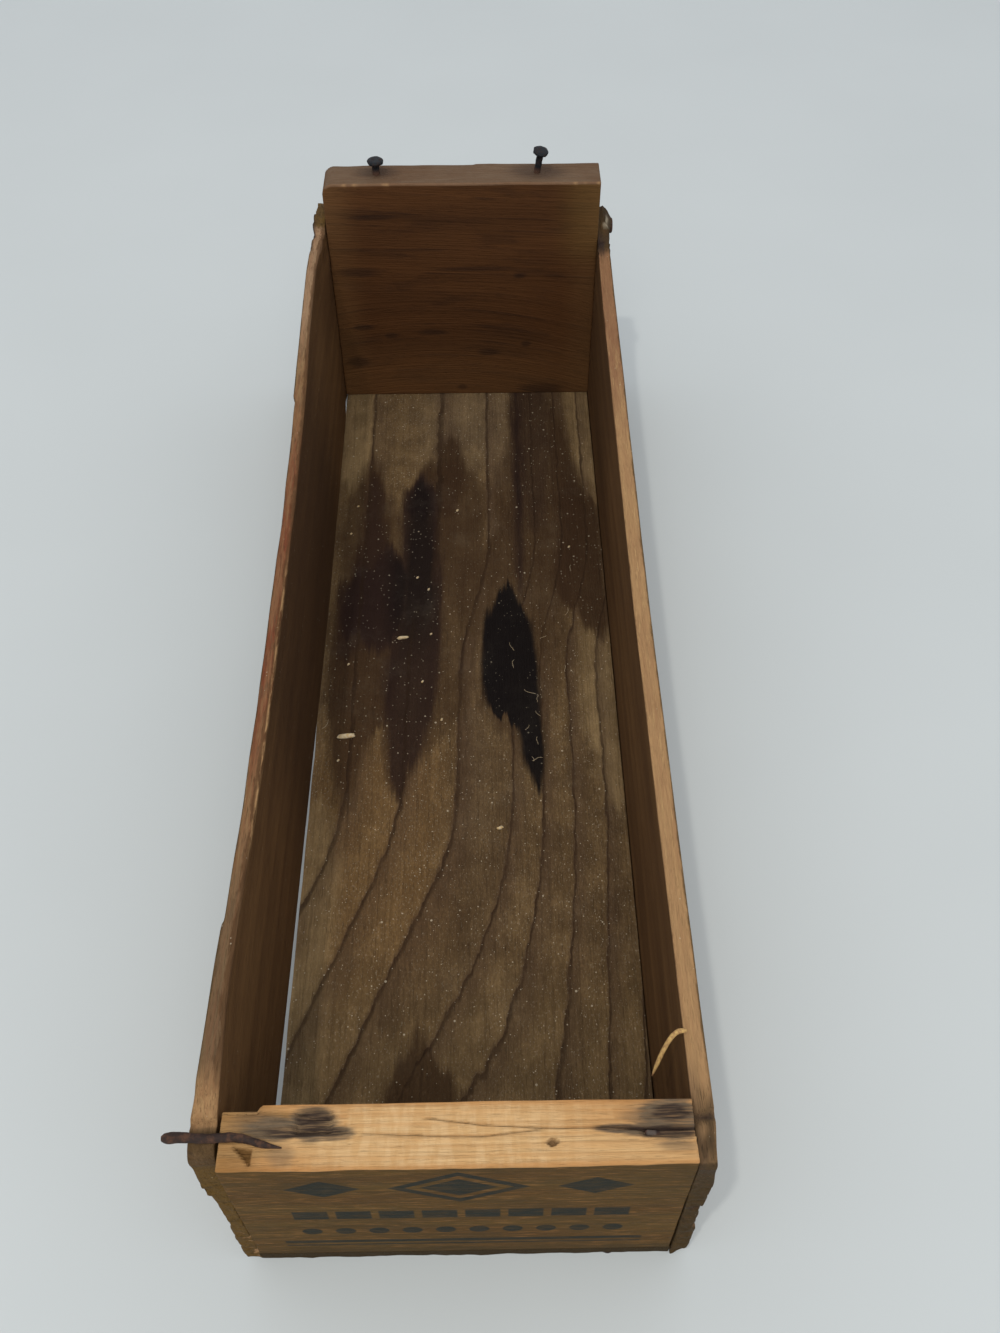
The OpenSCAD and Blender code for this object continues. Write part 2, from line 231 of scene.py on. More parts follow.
class Graph:
    """Adds nodes to a shader tree and gives back their outputs."""

    COLUMNS = 10
    COLUMN_STEP = 220
    ROW_STEP = -320

    def __init__(self, tree):
        self.tree = tree

    def feed(self, socket, value):
        """Links an output to a socket, or sets the socket to a plain value."""
        source = value.socket if isinstance(value, Wire) else value
        if isinstance(source, bpy.types.NodeSocket):
            self.tree.links.new(source, socket)
        elif socket.type == "RGBA":
            socket.default_value = (*source[:3], 1.0)
        else:
            socket.default_value = source

    def node(self, kind, values=(), **settings):
        """New node with the given settings and input values, laid out in rows."""
        row, column = divmod(len(self.tree.nodes), self.COLUMNS)
        made = self.tree.nodes.new(kind)
        made.location = (self.COLUMN_STEP * column, self.ROW_STEP * row)
        for setting, value in settings.items():
            setattr(made, setting, value)
        for label, value in dict(values).items():
            self.feed(made.inputs[label], value)
        return made

    def math(self, operation, *values):
        made = self.node("ShaderNodeMath", enumerate(values), operation=operation)
        return Wire(self, made.outputs[0])

    def most(self, *values):
        top = values[0]
        for value in values[1:]:
            top = self.math("MAXIMUM", top, value)
        return top

    def vector(self, operation, *values):
        made = self.node("ShaderNodeVectorMath", enumerate(values), operation=operation)
        return Wire(self, made.outputs["Value" if operation == "LENGTH" else "Vector"])

    def axes(self, vector):
        """Three numbers of a vector."""
        return [Wire(self, output) for output in self.node("ShaderNodeSeparateXYZ", {0: vector}).outputs]

    def point(self, *numbers):
        """Vector of three numbers."""
        return Wire(self, self.node("ShaderNodeCombineXYZ", enumerate(numbers)).outputs[0])

    def noise(self, place, scale, detail=2.0, roughness=0.5):
        """Noise between 0 and 1 over a place that is stretched by the scale of each axis."""
        stretched = self.vector("MULTIPLY", place, scale)
        values = {"Vector": stretched, "Scale": 1.0, "Detail": detail, "Roughness": roughness}
        return Wire(self, self.node("ShaderNodeTexNoise", values).outputs["Fac"])

    def curve(self, value, places, span, low, high):
        """Result from low to high, read off a curve through places that lie between 0 and a span."""
        made = self.node("ShaderNodeFloatCurve", {"Value": value / span})
        points = made.mapping.curves[0].points
        while len(points) < len(places):
            points.new(0.5, 0.5)
        for point, (start, result) in zip(points, places):
            point.location = (start / span, (result - low) / (high - low))
            point.handle_type = "AUTO_CLAMPED"
        made.mapping.update()
        return Wire(self, made.outputs[0]) * (high - low) + low

    def blend(self, share, under, over, kind="MIX"):
        """Colour over another colour, by a share."""
        made = self.node("ShaderNodeMix", {0: share, 6: under, 7: over}, data_type="RGBA", blend_type=kind)
        return Wire(self, made.outputs[2])

    def use(self, group, **values):
        """Places a group, with an underscore in a name standing for a space, and gives back its outputs."""
        labelled = {label.replace("_", " "): value for label, value in values.items()}
        made = self.node("ShaderNodeGroup", labelled, node_tree=bpy.data.node_groups[group])
        return {output.name: Wire(self, output) for output in made.outputs}

    def mask(self, name):
        """Mask that the mesh carries at its points."""
        return Wire(self, self.node("ShaderNodeAttribute", attribute_name=name).outputs["Fac"])


def new_group(name, inputs, outputs):
    """New shader group, as its graph, what it is given and the sockets that lead out of it."""
    tree = bpy.data.node_groups.new(name, "ShaderNodeTree")
    for direction, sockets in (("INPUT", inputs), ("OUTPUT", outputs)):
        for label, kind in sockets.items():
            tree.interface.new_socket(label, in_out=direction, socket_type="NodeSocket" + kind)
    graph = Graph(tree)
    given = {socket.name: Wire(graph, socket) for socket in graph.node("NodeGroupInput").outputs}
    return graph, given, graph.node("NodeGroupOutput").inputs


def make_grain_group():
    """Grain of a board, over a place whose X runs along the grain, Y across it and Z through the board."""
    graph, given, result = new_group(
        "board grain",
        {"Place": "Vector", "Ring Gap": "Float", "Uneven": "Float", "Wander": "Float"},
        {"Rings": "Float", "Fibres": "Float", "Pores": "Float", "Tone": "Float"})
    place = given["Place"]
    _, across, _ = graph.axes(place)
    drift = graph.noise(place, (0.009, 0.035, 0.035), 3.0) - 0.5
    bent = across + drift * given["Wander"]
    count = bent / given["Ring Gap"]
    uneven = graph.noise(graph.point(0.0, count, 0.0), (1.0, 0.55, 1.0), 1.0)
    share = graph.math("FRACT", count + uneven * given["Uneven"])
    graph.feed(result["Rings"], share.between(0.3, 0.93, 0.93, 1.0))
    fibres = graph.noise(place, (0.035, 1.7, 1.7), 4.0, 0.65)
    graph.feed(result["Fibres"], fibres.rise(0.32, 0.68))
    pores = graph.noise(place, (0.22, 4.5, 4.5), 2.0, 0.6)
    graph.feed(result["Pores"], pores.rise(0.58, 0.72))
    graph.feed(result["Tone"], graph.noise(place, (0.012, 0.09, 0.09), 3.0).rise(0.3, 0.7))


def make_patch_group():
    """One ragged patch, over a place whose X runs along the grain."""
    graph, given, result = new_group(
        "ragged patch",
        {"Place": "Vector", "Centre": "Vector", "Half Size": "Vector",
         "Fineness": "Float", "Ragged": "Float", "Soft": "Float"},
        {"Mask": "Float"})
    offset = graph.vector("SUBTRACT", given["Place"], given["Centre"])
    reach = graph.vector("LENGTH", graph.vector("DIVIDE", offset, given["Half Size"]))
    fine = graph.vector("MULTIPLY", given["Place"], given["Fineness"])
    uneven = graph.noise(fine, (0.03, 0.32, 0.32), 5.0, 0.66) - 0.5
    edge = reach + uneven * given["Ragged"]
    outside = 1.0 + given["Soft"]
    inside = 1.0 - given["Soft"]
    graph.feed(result["Mask"], edge.rise(outside, inside))


def make_stain_group():
    """Stain between a left and a right edge, over a place whose X runs along the grain."""
    graph, given, result = new_group(
        "long stain",
        {"Place": "Vector", "Left": "Float", "Right": "Float", "Ragged": "Float", "Soft": "Float"},
        {"Mask": "Float", "Core": "Float"})
    _, across, _ = graph.axes(given["Place"])
    beyond_left = across - given["Left"]
    beyond_right = given["Right"] - across
    uneven = graph.noise(given["Place"], (0.07, 0.5, 0.5), 5.0, 0.66) - 0.5
    inside = graph.math("MINIMUM", beyond_left, beyond_right) + uneven * given["Ragged"]
    outside = given["Soft"] * -1.0
    graph.feed(result["Mask"], inside.rise(outside, given["Soft"]))
    graph.feed(result["Core"], inside.rise(0.0, 4.5))


def make_dust_group():
    """Specks of dust, some larger than others."""
    graph, given, result = new_group("dust specks", {"Place": "Vector", "Cover": "Float"}, {"Mask": "Float"})
    masks = []
    for cell, size in ((1.0, 0.12), (3.2, 0.07)):
        specks = graph.node("ShaderNodeTexVoronoi", {"Vector": given["Place"], "Scale": 1.0 / cell})
        chance, swell, _ = graph.axes(specks.outputs["Color"])
        radius = (0.4 + swell) * size
        near = graph.math("LESS_THAN", specks.outputs["Distance"], radius)
        masks.append(near * graph.math("LESS_THAN", chance, given["Cover"]))
    graph.feed(result["Mask"], graph.most(*masks))


def make_rust_group():
    """Lumpy rust, from dark scale to brown bloom."""
    graph, given, result = new_group(
        "old rust",
        {"Place": "Vector", "Dark": "Color", "Brown": "Color"},
        {"Colour": "Color", "Roughness": "Float", "Height": "Float"})
    bloom = graph.noise(given["Place"], (0.9, 0.9, 0.9), 4.0, 0.6).rise(0.42, 0.66)
    grit = graph.noise(given["Place"], (5.0, 5.0, 5.0), 3.0, 0.6)
    graph.feed(result["Colour"], graph.blend(bloom * grit * 1.5, given["Dark"], given["Brown"]))
    graph.feed(result["Roughness"], 0.55 + bloom * 0.35)
    graph.feed(result["Height"], bloom * 0.6 + grit)


def new_material(name):
    """New material, as itself, its graph, its shader node and the place on the piece in millimetres."""
    material = bpy.data.materials.new(name)
    material.use_nodes = True
    graph = Graph(material.node_tree)
    shader = material.node_tree.nodes["Principled BSDF"]
    spot = graph.node("ShaderNodeTexCoord").outputs["Object"]
    place = graph.vector("MULTIPLY", spot, (1 / MM, 1 / MM, 1 / MM))
    return material, graph, shader, place


# Share of the usual gloss that old wood and rust keep
DULL_GLOSS = 0.12


def finish_surface(graph, shader, paint, rough, height, relief):
    """Feeds a surface's colour, roughness and relief in metres to its shader."""
    bump = graph.node("ShaderNodeBump", {"Strength": 1.0, "Distance": relief, "Height": height})
    values = {
        "Base Color": paint, "Roughness": rough, "Specular IOR Level": DULL_GLOSS,
        "Normal": bump.outputs["Normal"]}
    for label, value in values.items():
        graph.feed(shader.inputs[label], value)


def patches(graph, place, spots, fineness, ragged, soft):
    """Mask of several ragged patches, each given by its middle and half sizes along and across the grain."""
    depth = 60.0
    masks = []
    for along, across, half_along, half_across in spots:
        half_size = (half_along, half_across, depth)
        patch = graph.use(
            "ragged patch", Place=place, Centre=(along, across, 0.0), Half_Size=half_size, Fineness=fineness,
            Ragged=ragged, Soft=soft)
        masks.append(patch["Mask"])
    return graph.most(*masks)


# Stains on the bottom board, and strips of painted light, each as its left and right edges at places from
# the front face
BLACK_STAINS = (
    ((113, 19.2, 19.8), (119, 17.2, 21.2), (126, 15.5, 22), (134, 14.4, 21.6), (138, 11.5, 21.3),
     (141, 6.5, 21.1), (147, 5, 21), (165, 4.5, 20.3), (175, 5.5, 19.2), (182, 8, 16.5),
     (189, 11.8, 13.2)),
)
DARK_STAINS = (
    ((111, -18.8, -17), (120, -21.4, -14.4), (128, -22.4, -12), (138, -23, -9.6), (150, -23.5, -7.8),
     (165, -22.8, -7.2), (180, -22, -7), (197, -21, -8), (215, -20.8, -8.6), (231, -20.4, -9)),
    ((168, -31, -20), (172, -36.5, -16), (184, -38, -15), (192, -37, -15), (197, -30, -17)),
    ((186, 16, 16.4), (200, 15.4, 17.4), (230, 15.2, 18.2), (290, 15.5, 18.5)),
)
BROWN_STAINS = (
    ((107, -32, -31.2), (116, -35, -29), (124, -37, -28), (132, -38, -26.5), (138, -38.5, -21),
     (150, -40, -20), (168, -39.5, -20), (182, -38.5, -20)),
    ((188, -38, -24), (197, -36, -22), (207, -33.5, -24), (217, -33, -25), (226, -32.8, -26),
     (235, -32, -27.5), (241, -30.8, -29)),
    ((224, -9, -3), (232, -10.5, -1.5), (240, -11, -0.8), (250, -10, -1.2), (255, -9, -1.8)),
    ((226, -20, -9), (238, -16.5, -9), (245, -13, -9.5)),
    ((186, 27, 38), (200, 28, 39.5), (215, 29, 40), (235, 28.5, 38), (255, 28, 34.5), (272, 28, 31)),
    ((169, 38, 41), (176, 33, 43), (190, 29.5, 43), (206, 30, 43), (222, 34, 43)),
    ((0, -19, -0.5), (30, -18.6, -1), (35, -17.8, -2), (39, -16, -5), (43, -13.4, -8.6),
     (47, -12, -10.2)),
)
SOFT_STAINS = (
    ((216, 20, 24), (231, 18, 26.5), (250, 16.5, 28), (270, 16.5, 28), (290, 16.5, 28)),
    ((166, -38, -30), (185, -38, -24), (204, -33.5, -25), (222, -32.5, -26.5), (236, -31.5, -28.5)),
)
# Pale stains along the right edge; the two outlines along the left edge are painted light over the left
# side's shadow
PALE_STAINS_AND_LIGHT = (
    ((112, 38.5, 41.5), (125, 36, 42), (140, 33, 42), (168, 33.5, 42)),
    ((12, -42, -33.5), (60, -42, -33), (85, -42, -32.5), (108, -42, -36)),
    ((240, -42, -33), (262, -42, -31), (290, -42, -31)),
    ((238, 37, 42), (262, 35.5, 42), (290, 35, 42)),
)
HALO_STAINS = (
    ((128, -13, -8), (140, -12, -1), (155, -11, 3), (185, -10, 6.5), (207, -10, 7), (224, -11, 6.5),
     (236, -14, 4)),
    ((130, 13, 21), (138, 6, 22.5), (150, 4, 22.5), (170, 3.5, 22), (184, 4, 20), (196, 2, 18),
     (205, 4, 14)),
    ((140, 20, 25), (158, 19, 29), (180, 17, 31), (200, 14, 32)),
    ((185, -40, -20), (205, -40, -20), (222, -39, -21.5), (234, -36, -27), (247, -32.5, -30.5)),
    ((186, 12, 22), (196, 9, 33), (215, 8, 37), (235, 9, 37), (255, 13, 34.5), (290, 15, 33)),
)
# Dark band between two rings, across them
RING_STAINS = (
    ((55, -15.4, -1.4), (70, -15.6, -1.2), (110, -15.6, -1.2), (138, -15, -2)),
)

# Limits of the stains' places from the front face and to either side, how far their spikes reach, and how
# much longer and narrower a stain runs out than its outline
STAIN_SPAN = 310.0
STAIN_SIDE = 60.0
SPIKE_REACH = 16.0
RUN_OUT = 6
RUN_IN = 4


def stains(graph, place, outlines, ragged, soft):
    """Mask of several stains, and of their dark middles. A stain that starts at 0 has no front end."""
    from_front, _, _ = graph.axes(place)
    spikes = graph.noise(place, (0.012, 0.55, 0.55), 4.0, 0.62) - 0.5
    spiky = from_front + spikes * SPIKE_REACH
    masks = []
    cores = []
    for outline in outlines:
        first, last = outline[0], outline[-1]
        rows = [*outline, (last[0] + RUN_OUT, last[1] + RUN_IN, last[2] - RUN_IN)]
        if first[0]:
            rows.insert(0, (first[0] - RUN_OUT, first[1] + RUN_IN, first[2] - RUN_IN))
        left, right = (
            graph.curve(spiky, [(row[0], row[edge]) for row in rows], STAIN_SPAN, -STAIN_SIDE, STAIN_SIDE)
            for edge in (1, 2))
        stain = graph.use("long stain", Place=place, Left=left, Right=right, Ragged=ragged, Soft=soft)
        masks.append(stain["Mask"])
        cores.append(stain["Core"])
    return graph.most(*masks), graph.most(*cores)


def swept_place(graph, from_front, x, z, straight):
    """Place that the bottom's rings follow: they sweep left near the front and crowd on the right."""
    sweep_from = 103.0
    crowd_from = 12.5
    before = graph.math("SMOOTH_MAX", sweep_from - from_front, 0.0, 24.0)
    reach = 4.0 + x.rise(34.0, -20.0) * 20.0
    behind = from_front.rise(155.0, 210.0) * x.rise(-25.0, -5.0) * -9.0
    jag = (graph.noise(straight, (0.12, 0.4, 0.4), 4.0, 0.6) - 0.5) * 2.4
    ring_x = x + before * reach * 0.0165 + behind + jag
    crowd = graph.math("MAXIMUM", ring_x - crowd_from, 0.0) * 0.815
    return graph.point(from_front, (ring_x + crowd + 3.4) * -1.0, z)


def bottom_wood(colours):
    """Grey-brown bottom board with sweeping rings, stains, dust and painted light at its front and left
    edge.
    """
    material, graph, shader, place = new_material("bottom wood")
    x, y, z = graph.axes(place)
    from_front = y - FRONT_Y
    straight = graph.point(from_front, x, z)
    ring_place = swept_place(graph, from_front, x, z, straight)
    rings = graph.use("board grain", Place=ring_place, Ring_Gap=14.83, Uneven=0.0, Wander=2.0)
    grain = graph.use("board grain", Place=straight, Ring_Gap=3.1, Uneven=1.6, Wander=9.0)
    line = rings["Rings"].rise(0.955, 1.0)
    mottle = graph.noise(place, (0.13, 0.08, 0.13), 5.0, 0.62).rise(0.34, 0.66)
    grit = graph.noise(place, (1.7, 1.0, 1.7), 4.0, 0.75).rise(0.4, 0.64)
    sand = graph.noise(place, (2.6, 1.5, 2.6), 3.0, 0.7).rise(0.56, 0.7)
    haze = graph.noise(place, (0.08, 0.08, 0.08), 6.0, 0.75).rise(0.5, 0.75)
    pale, _ = stains(graph, straight, PALE_STAINS_AND_LIGHT, 5.0, 3.5)
    banded, _ = stains(graph, ring_place, RING_STAINS, 2.0, 1.5)
    halo, _ = stains(graph, straight, HALO_STAINS, 6.0, 3.0)
    soft, _ = stains(graph, straight, SOFT_STAINS, 5.0, 3.0)
    brown, _ = stains(graph, straight, BROWN_STAINS, 5.0, 2.2)
    dark, dark_core = stains(graph, straight, DARK_STAINS, 4.0, 2.0)
    black, _ = stains(graph, straight, BLACK_STAINS, 2.6, 1.2)
    warm = from_front.between(40.0, 80.0, 120.0, 150.0) * x.rise(4.0, -14.0)
    swept = x.between(-20.0, -8.0, 12.0, 17.0)
    shaded = x.rise(-12.0, 0.0) * from_front.between(52.0, 70.0, 120.0, 150.0)
    deep = from_front.between(172.0, 195.0, 222.0, 248.0) * x.rise(-12.0, -8.0) * 0.14
    right_rear = from_front.rise(222.0, 250.0) * x.rise(6.0, 12.0)
    weaker = graph.most(right_rear * 0.2, from_front.rise(70.0, 50.0) * 0.04)
    column = from_front.rise(150.0, 188.0) * x.rise(-27.0, -20.0)
    sawn = graph.most(from_front.rise(1.6, 0.5), from_front.rise(291.9, 293.0))
    clear = 1.0 - black * 0.6
    specks = graph.use("dust specks", Place=place, Cover=0.58)
    up = graph.axes(graph.node("ShaderNodeNewGeometry").outputs["Normal"])[2].rise(0.6, 0.9)
    paint = graph.blend(mottle, colours.bottom_dark, colours.bottom_pale).coats(
        (colours.bottom_warm, warm * 0.4),
        (colours.bottom_dark, grit * 0.5),
        (colours.dust, sand * 0.34),
        (colours.dust, from_front.rise(225.0, 262.0) * (0.02 + swept * 0.05)),
        # Painted light over the bottom's front part, beside the front board
        (colours.bottom_dust_and_light, from_front.rise(72.0, 42.0) * 0.14),
        (colours.stain_plum, shaded * 0.16),
        # Pale stains, with painted light along the left edge
        (colours.bottom_dust_and_light, pale * (0.38 + mottle * 0.3)),
        (colours.stain_plum, banded * 0.22),
        (colours.stain_brown, halo * (0.62 + deep)),
        (colours.stain_brown, brown * (0.86 - weaker)),
        (colours.stain_plum, soft * (0.5 + x.rise(8.0, 0.0) * 0.14)),
        (colours.stain_plum, dark * 0.9),
        (colours.stain_black, dark_core * (0.12 + column * 0.6)),
        (colours.stain_black, black * 0.97),
        (colours.bottom_plum, rings["Rings"] * 0.5, "DARKEN"),
        (colours.bottom_ring, line * (0.4 + mottle * 0.35), "DARKEN"),
        (colours.bottom_ring, grain["Fibres"] * 0.16, "DARKEN"),
        (colours.bottom_ring, grain["Rings"].rise(0.85, 1.0) * 0.16, "DARKEN"),
        (colours.bottom_ring, grain["Pores"] * 0.25, "DARKEN"),
        (colours.bottom_ring, graph.mask("grime") * 0.85),
        (colours.weathered, sawn * 0.8),
        (colours.dust, haze * clear * 0.03),
        (colours.dust, specks["Mask"] * up * clear * 0.7))
    height = grain["Fibres"] + grain["Pores"] * -0.8 + line * -0.8 + grit
    finish_surface(graph, shader, paint, 0.9 - black * 0.2, height, 0.12 * MM)
    return material


def ink_marks(graph, x, z):
    """Mask of plain printed marks: three lozenges, a row of dashes, a row of studs and two rules."""
    width = abs(x)

    def lozenge(middle_x, middle_z, half_x, half_z):
        away_x = abs(width - middle_x)
        away_z = abs(z - middle_z)
        return away_x * (1 / half_x) + away_z * (1 / half_z)

    def band(middle_z, half_z):
        away = abs(z - middle_z)
        return away.rise(half_z + 0.25, half_z - 0.25)

    def run(half_x):
        return width.rise(half_x + 0.3, half_x - 0.3)

    def repeat(gap):
        return graph.math("PINGPONG", x, gap / 2)

    lozenge_z = 46.5
    half_row = 33.0
    stud_gap = 6.6
    big = lozenge(0.0, lozenge_z, 13.0, 8.5)
    ring = big.between(0.74, 0.79, 0.98, 1.03)
    core = big.rise(0.58, 0.53)
    small = lozenge(25.0, lozenge_z, 7.0, 4.6).rise(1.04, 0.96)
    dashes = band(30.5, 2.4) * run(half_row) * repeat(8.25).rise(0.55, 0.95)
    stud_x = repeat(stud_gap) - stud_gap / 2
    stud = graph.vector("LENGTH", graph.point(stud_x, z - 20.0, 0.0))
    studs = stud.rise(2.2, 1.8) * run(half_row)
    rules = graph.most(band(12.8, 0.85), band(10.4, 0.4)) * run(36.0)
    return graph.most(ring, core, small, dashes, studs, rules)


# Stains on the front board's break: middle across and back from the front face, half length and half width
NAIL_STAINS = (
    (-32.5, 7.4, 5.6, 2.2), (-26.2, 8.2, 4.6, 3.2), (-22, 6.5, 3.6, 1.3), (38.4, 8.3, 5.6, 4.6),
    (35.5, 6.3, 6.5, 1.6), (29.5, 6.6, 5, 0.9),
)
RUST_STAINS = (
    (-26, 9.2, 3.2, 1.7), (-27.8, 6.9, 7.5, 1), (-22.6, 6.5, 2.8, 0.7), (29.2, 6.6, 4.6, 0.55),
    (37.5, 6, 5, 1.1), (38.6, 9.3, 3.4, 1.5),
)
TANNED_PATCHES = ((-41, 6, 7, 9), (-33, 9.6, 4, 1.2))
FAINT_STAINS = (
    (-31.2, 2.6, 2.4, 1.7), (-31, 2.7, 1.2, 1.2), (33.8, 8.8, 4, 2.1), (39, 3.2, 3.4, 1),
    (-36, 8, 4, 2.5),
)


def front_wood(colours):
    """Olive-brown front board with faded print, and a pale break on top that is grey round its nails."""
    material, graph, shader, place = new_material("front wood")
    x, y, z = graph.axes(place)
    depth = y - FRONT_Y
    grain = graph.use("board grain", Place=graph.point(x, z, depth), Ring_Gap=5.5, Uneven=1.6, Wander=7.0)
    scuffs = graph.noise(place, (0.2, 1.0, 1.8), 5.0, 0.72).rise(0.5, 0.68)
    sooty = graph.noise(place, (0.045, 0.1, 0.12), 4.0, 0.6).rise(0.48, 0.68)
    foot = (z + grain["Tone"] * 5.0).rise(13.0, 5.5)
    worn = graph.noise(place, (0.25, 0.25, 0.9), 4.0, 0.65).rise(0.3, 0.62)
    faded = 0.7 + worn * 0.28 - grain["Pores"] * 0.25
    aged = graph.blend(grain["Tone"], colours.front_olive, colours.front_red).coats(
        (colours.weathered, grain["Fibres"] * 0.45),
        (colours.weathered, grain["Rings"].rise(0.6, 1.0) * 0.3),
        (colours.weathered, grain["Pores"] * 0.5),
        (colours.fresh_warm, scuffs * 0.3),
        (colours.weathered, sooty * 0.4),
        (colours.weathered, foot * 0.6),
        (colours.ink, ink_marks(graph, x, z) * depth.rise(0.8, 0.4) * faded))

    on_top = graph.point(x, depth, 0.0)
    top = graph.use("board grain", Place=graph.point(x, depth, z), Ring_Gap=1.9, Uneven=1.6, Wander=2.6)
    flecks = graph.noise(on_top, (0.38, 0.1, 1.0), 5.0, 0.62).rise(0.42, 0.62)
    middle = abs(x + 2.0).rise(36.0, 10.0)
    rims = graph.most(depth.rise(1.3, 0.1), depth.rise(END_T - 1.3, END_T - 0.1))
    streaks = graph.noise(on_top, (0.12, 2.2, 1.0), 4.0, 0.65).rise(0.3, 0.6)
    tanned = patches(graph, on_top, TANNED_PATCHES, 3.0, 1.3, 0.5)
    faint = patches(graph, on_top, FAINT_STAINS, 3.0, 1.3, 0.5)
    grey = patches(graph, on_top, NAIL_STAINS, 3.0, 1.1, 0.22)
    dark = patches(graph, on_top, RUST_STAINS, 4.0, 1.2, 0.3)
    fresh = graph.blend(top["Tone"], colours.fresh_pale, colours.fresh_warm).coats(
        (colours.fresh_pale, middle * 0.5),
        (colours.fresh_cream, flecks * (0.06 + middle * 0.42)),
        (colours.fresh_warm, top["Rings"] * 0.25),
        (colours.fresh_warm, top["Fibres"] * 0.22),
        (colours.fresh_warm, rims * 0.55),
        (colours.front_olive, tanned * 0.45),
        (colours.front_red, graph.mask("chipped") * 0.8),
        (colours.nail_stain, faint * 0.5),
        (colours.nail_stain, grey * (0.6 + streaks * 0.4)),
        (colours.rust_dark, dark * (0.3 + streaks * 0.6)),
        (colours.rust_dark, graph.mask("grime") * 0.8))

    torn = (grain["Fibres"] - 0.5) * 0.3
    bared = (graph.mask("bared") + torn).rise(0.35, 0.6)
    height = grain["Fibres"] + top["Fibres"] * bared + grain["Pores"] * -0.6
    finish_surface(graph, shader, aged.under(fresh, bared), 0.8 + bared * 0.1, height, 0.11 * MM)
    return material


# Rust round the lid nails on the rear board's top: middle across and from the front face, half sizes
REAR_RUST = ((-26, 289, 6, 3.5), (23.4, 288.6, 8, 4))
# Dark spots on the rear board: middle across and up, half width and half height
REAR_SPOTS = (
    (7.5, 22, 3.6, 1.3), (20.5, 25.2, 1.6, 1.1), (-34, 32.5, 3.4, 1.2), (18, 51.5, 2, 0.9),
    (-1.5, 7.6, 1.6, 1), (-11, 30.4, 4.5, 1.1), (-37, 18.5, 3.5, 2.2), (26, 6.5, 7, 2),
    (-25, 29, 2.2, 1), (-28, 72.5, 8, 0.9), (4, 54.2, 12, 0.9), (-34, 53.4, 7, 1.6),
)


def rear_wood(colours):
    """Dark brown rear board with soft broken streaks, a dusty top and a chipped inner edge."""
    material, graph, shader, place = new_material("rear wood")
    x, y, z = graph.axes(place)
    off_middle = x + 3.0
    arch = off_middle * off_middle * z.rise(52.0, 36.0) * 0.003
    arched = graph.point(x, z + x * 0.05 + arch, y)
    grain = graph.use("board grain", Place=arched, Ring_Gap=6.4, Uneven=1.2, Wander=9.0)
    kept = graph.noise(arched, (0.05, 0.16, 0.05), 3.0, 0.6).rise(0.44, 0.62)
    smudge = graph.noise(arched, (0.045, 0.2, 0.05), 5.0, 0.6).rise(0.5, 0.68)
    spots = patches(graph, graph.point(x, z, 0.0), REAR_SPOTS, 2.5, 1.2, 0.5)
    rusty = patches(graph, graph.point(x, y - FRONT_Y, 0.0), REAR_RUST, 3.0, 1.0, 0.5)
    blotch = graph.noise(place, (0.06, 0.06, 0.1), 4.0, 0.6).rise(0.4, 0.7)
    top_tone = graph.blend(blotch * 0.4, colours.rear_top, colours.rear_brown).coats(
        (colours.rear_brown, grain["Fibres"] * 0.3),
        (colours.rust_dark, rusty * 0.5))
    paint = graph.blend(grain["Tone"] * 0.5, colours.rear_brown, colours.rear_dark).coats(
        (colours.rear_dark, grain["Rings"] * kept * 0.25),
        (colours.stain_black, grain["Rings"].rise(0.85, 1.0) * kept * 0.3),
        (colours.stain_black, smudge * 0.26),
        (colours.rear_dark, grain["Fibres"] * 0.16),
        (colours.rear_dark, grain["Pores"] * 0.15),
        (colours.side_brown, abs(x).rise(30.0, 42.0) * 0.3),
        (colours.front_olive, x.rise(26.0, 38.0) * z.rise(52.0, 64.0) * 0.35),
        (colours.side_brown, z.rise(36.0, 8.0) * 0.2),
        (colours.stain_black, spots * 0.45),
        (top_tone, graph.mask("dusty").rise(0.3, 0.8)),
        (colours.right_warm, graph.mask("rim") * 0.3),
        (colours.right_top, graph.mask("bared") * 0.55))
    height = grain["Fibres"] + grain["Pores"] * -0.6 + grain["Rings"] * 0.5
    finish_surface(graph, shader, paint, 0.74 + grain["Tone"] * 0.12, height, 0.1 * MM)
    return material


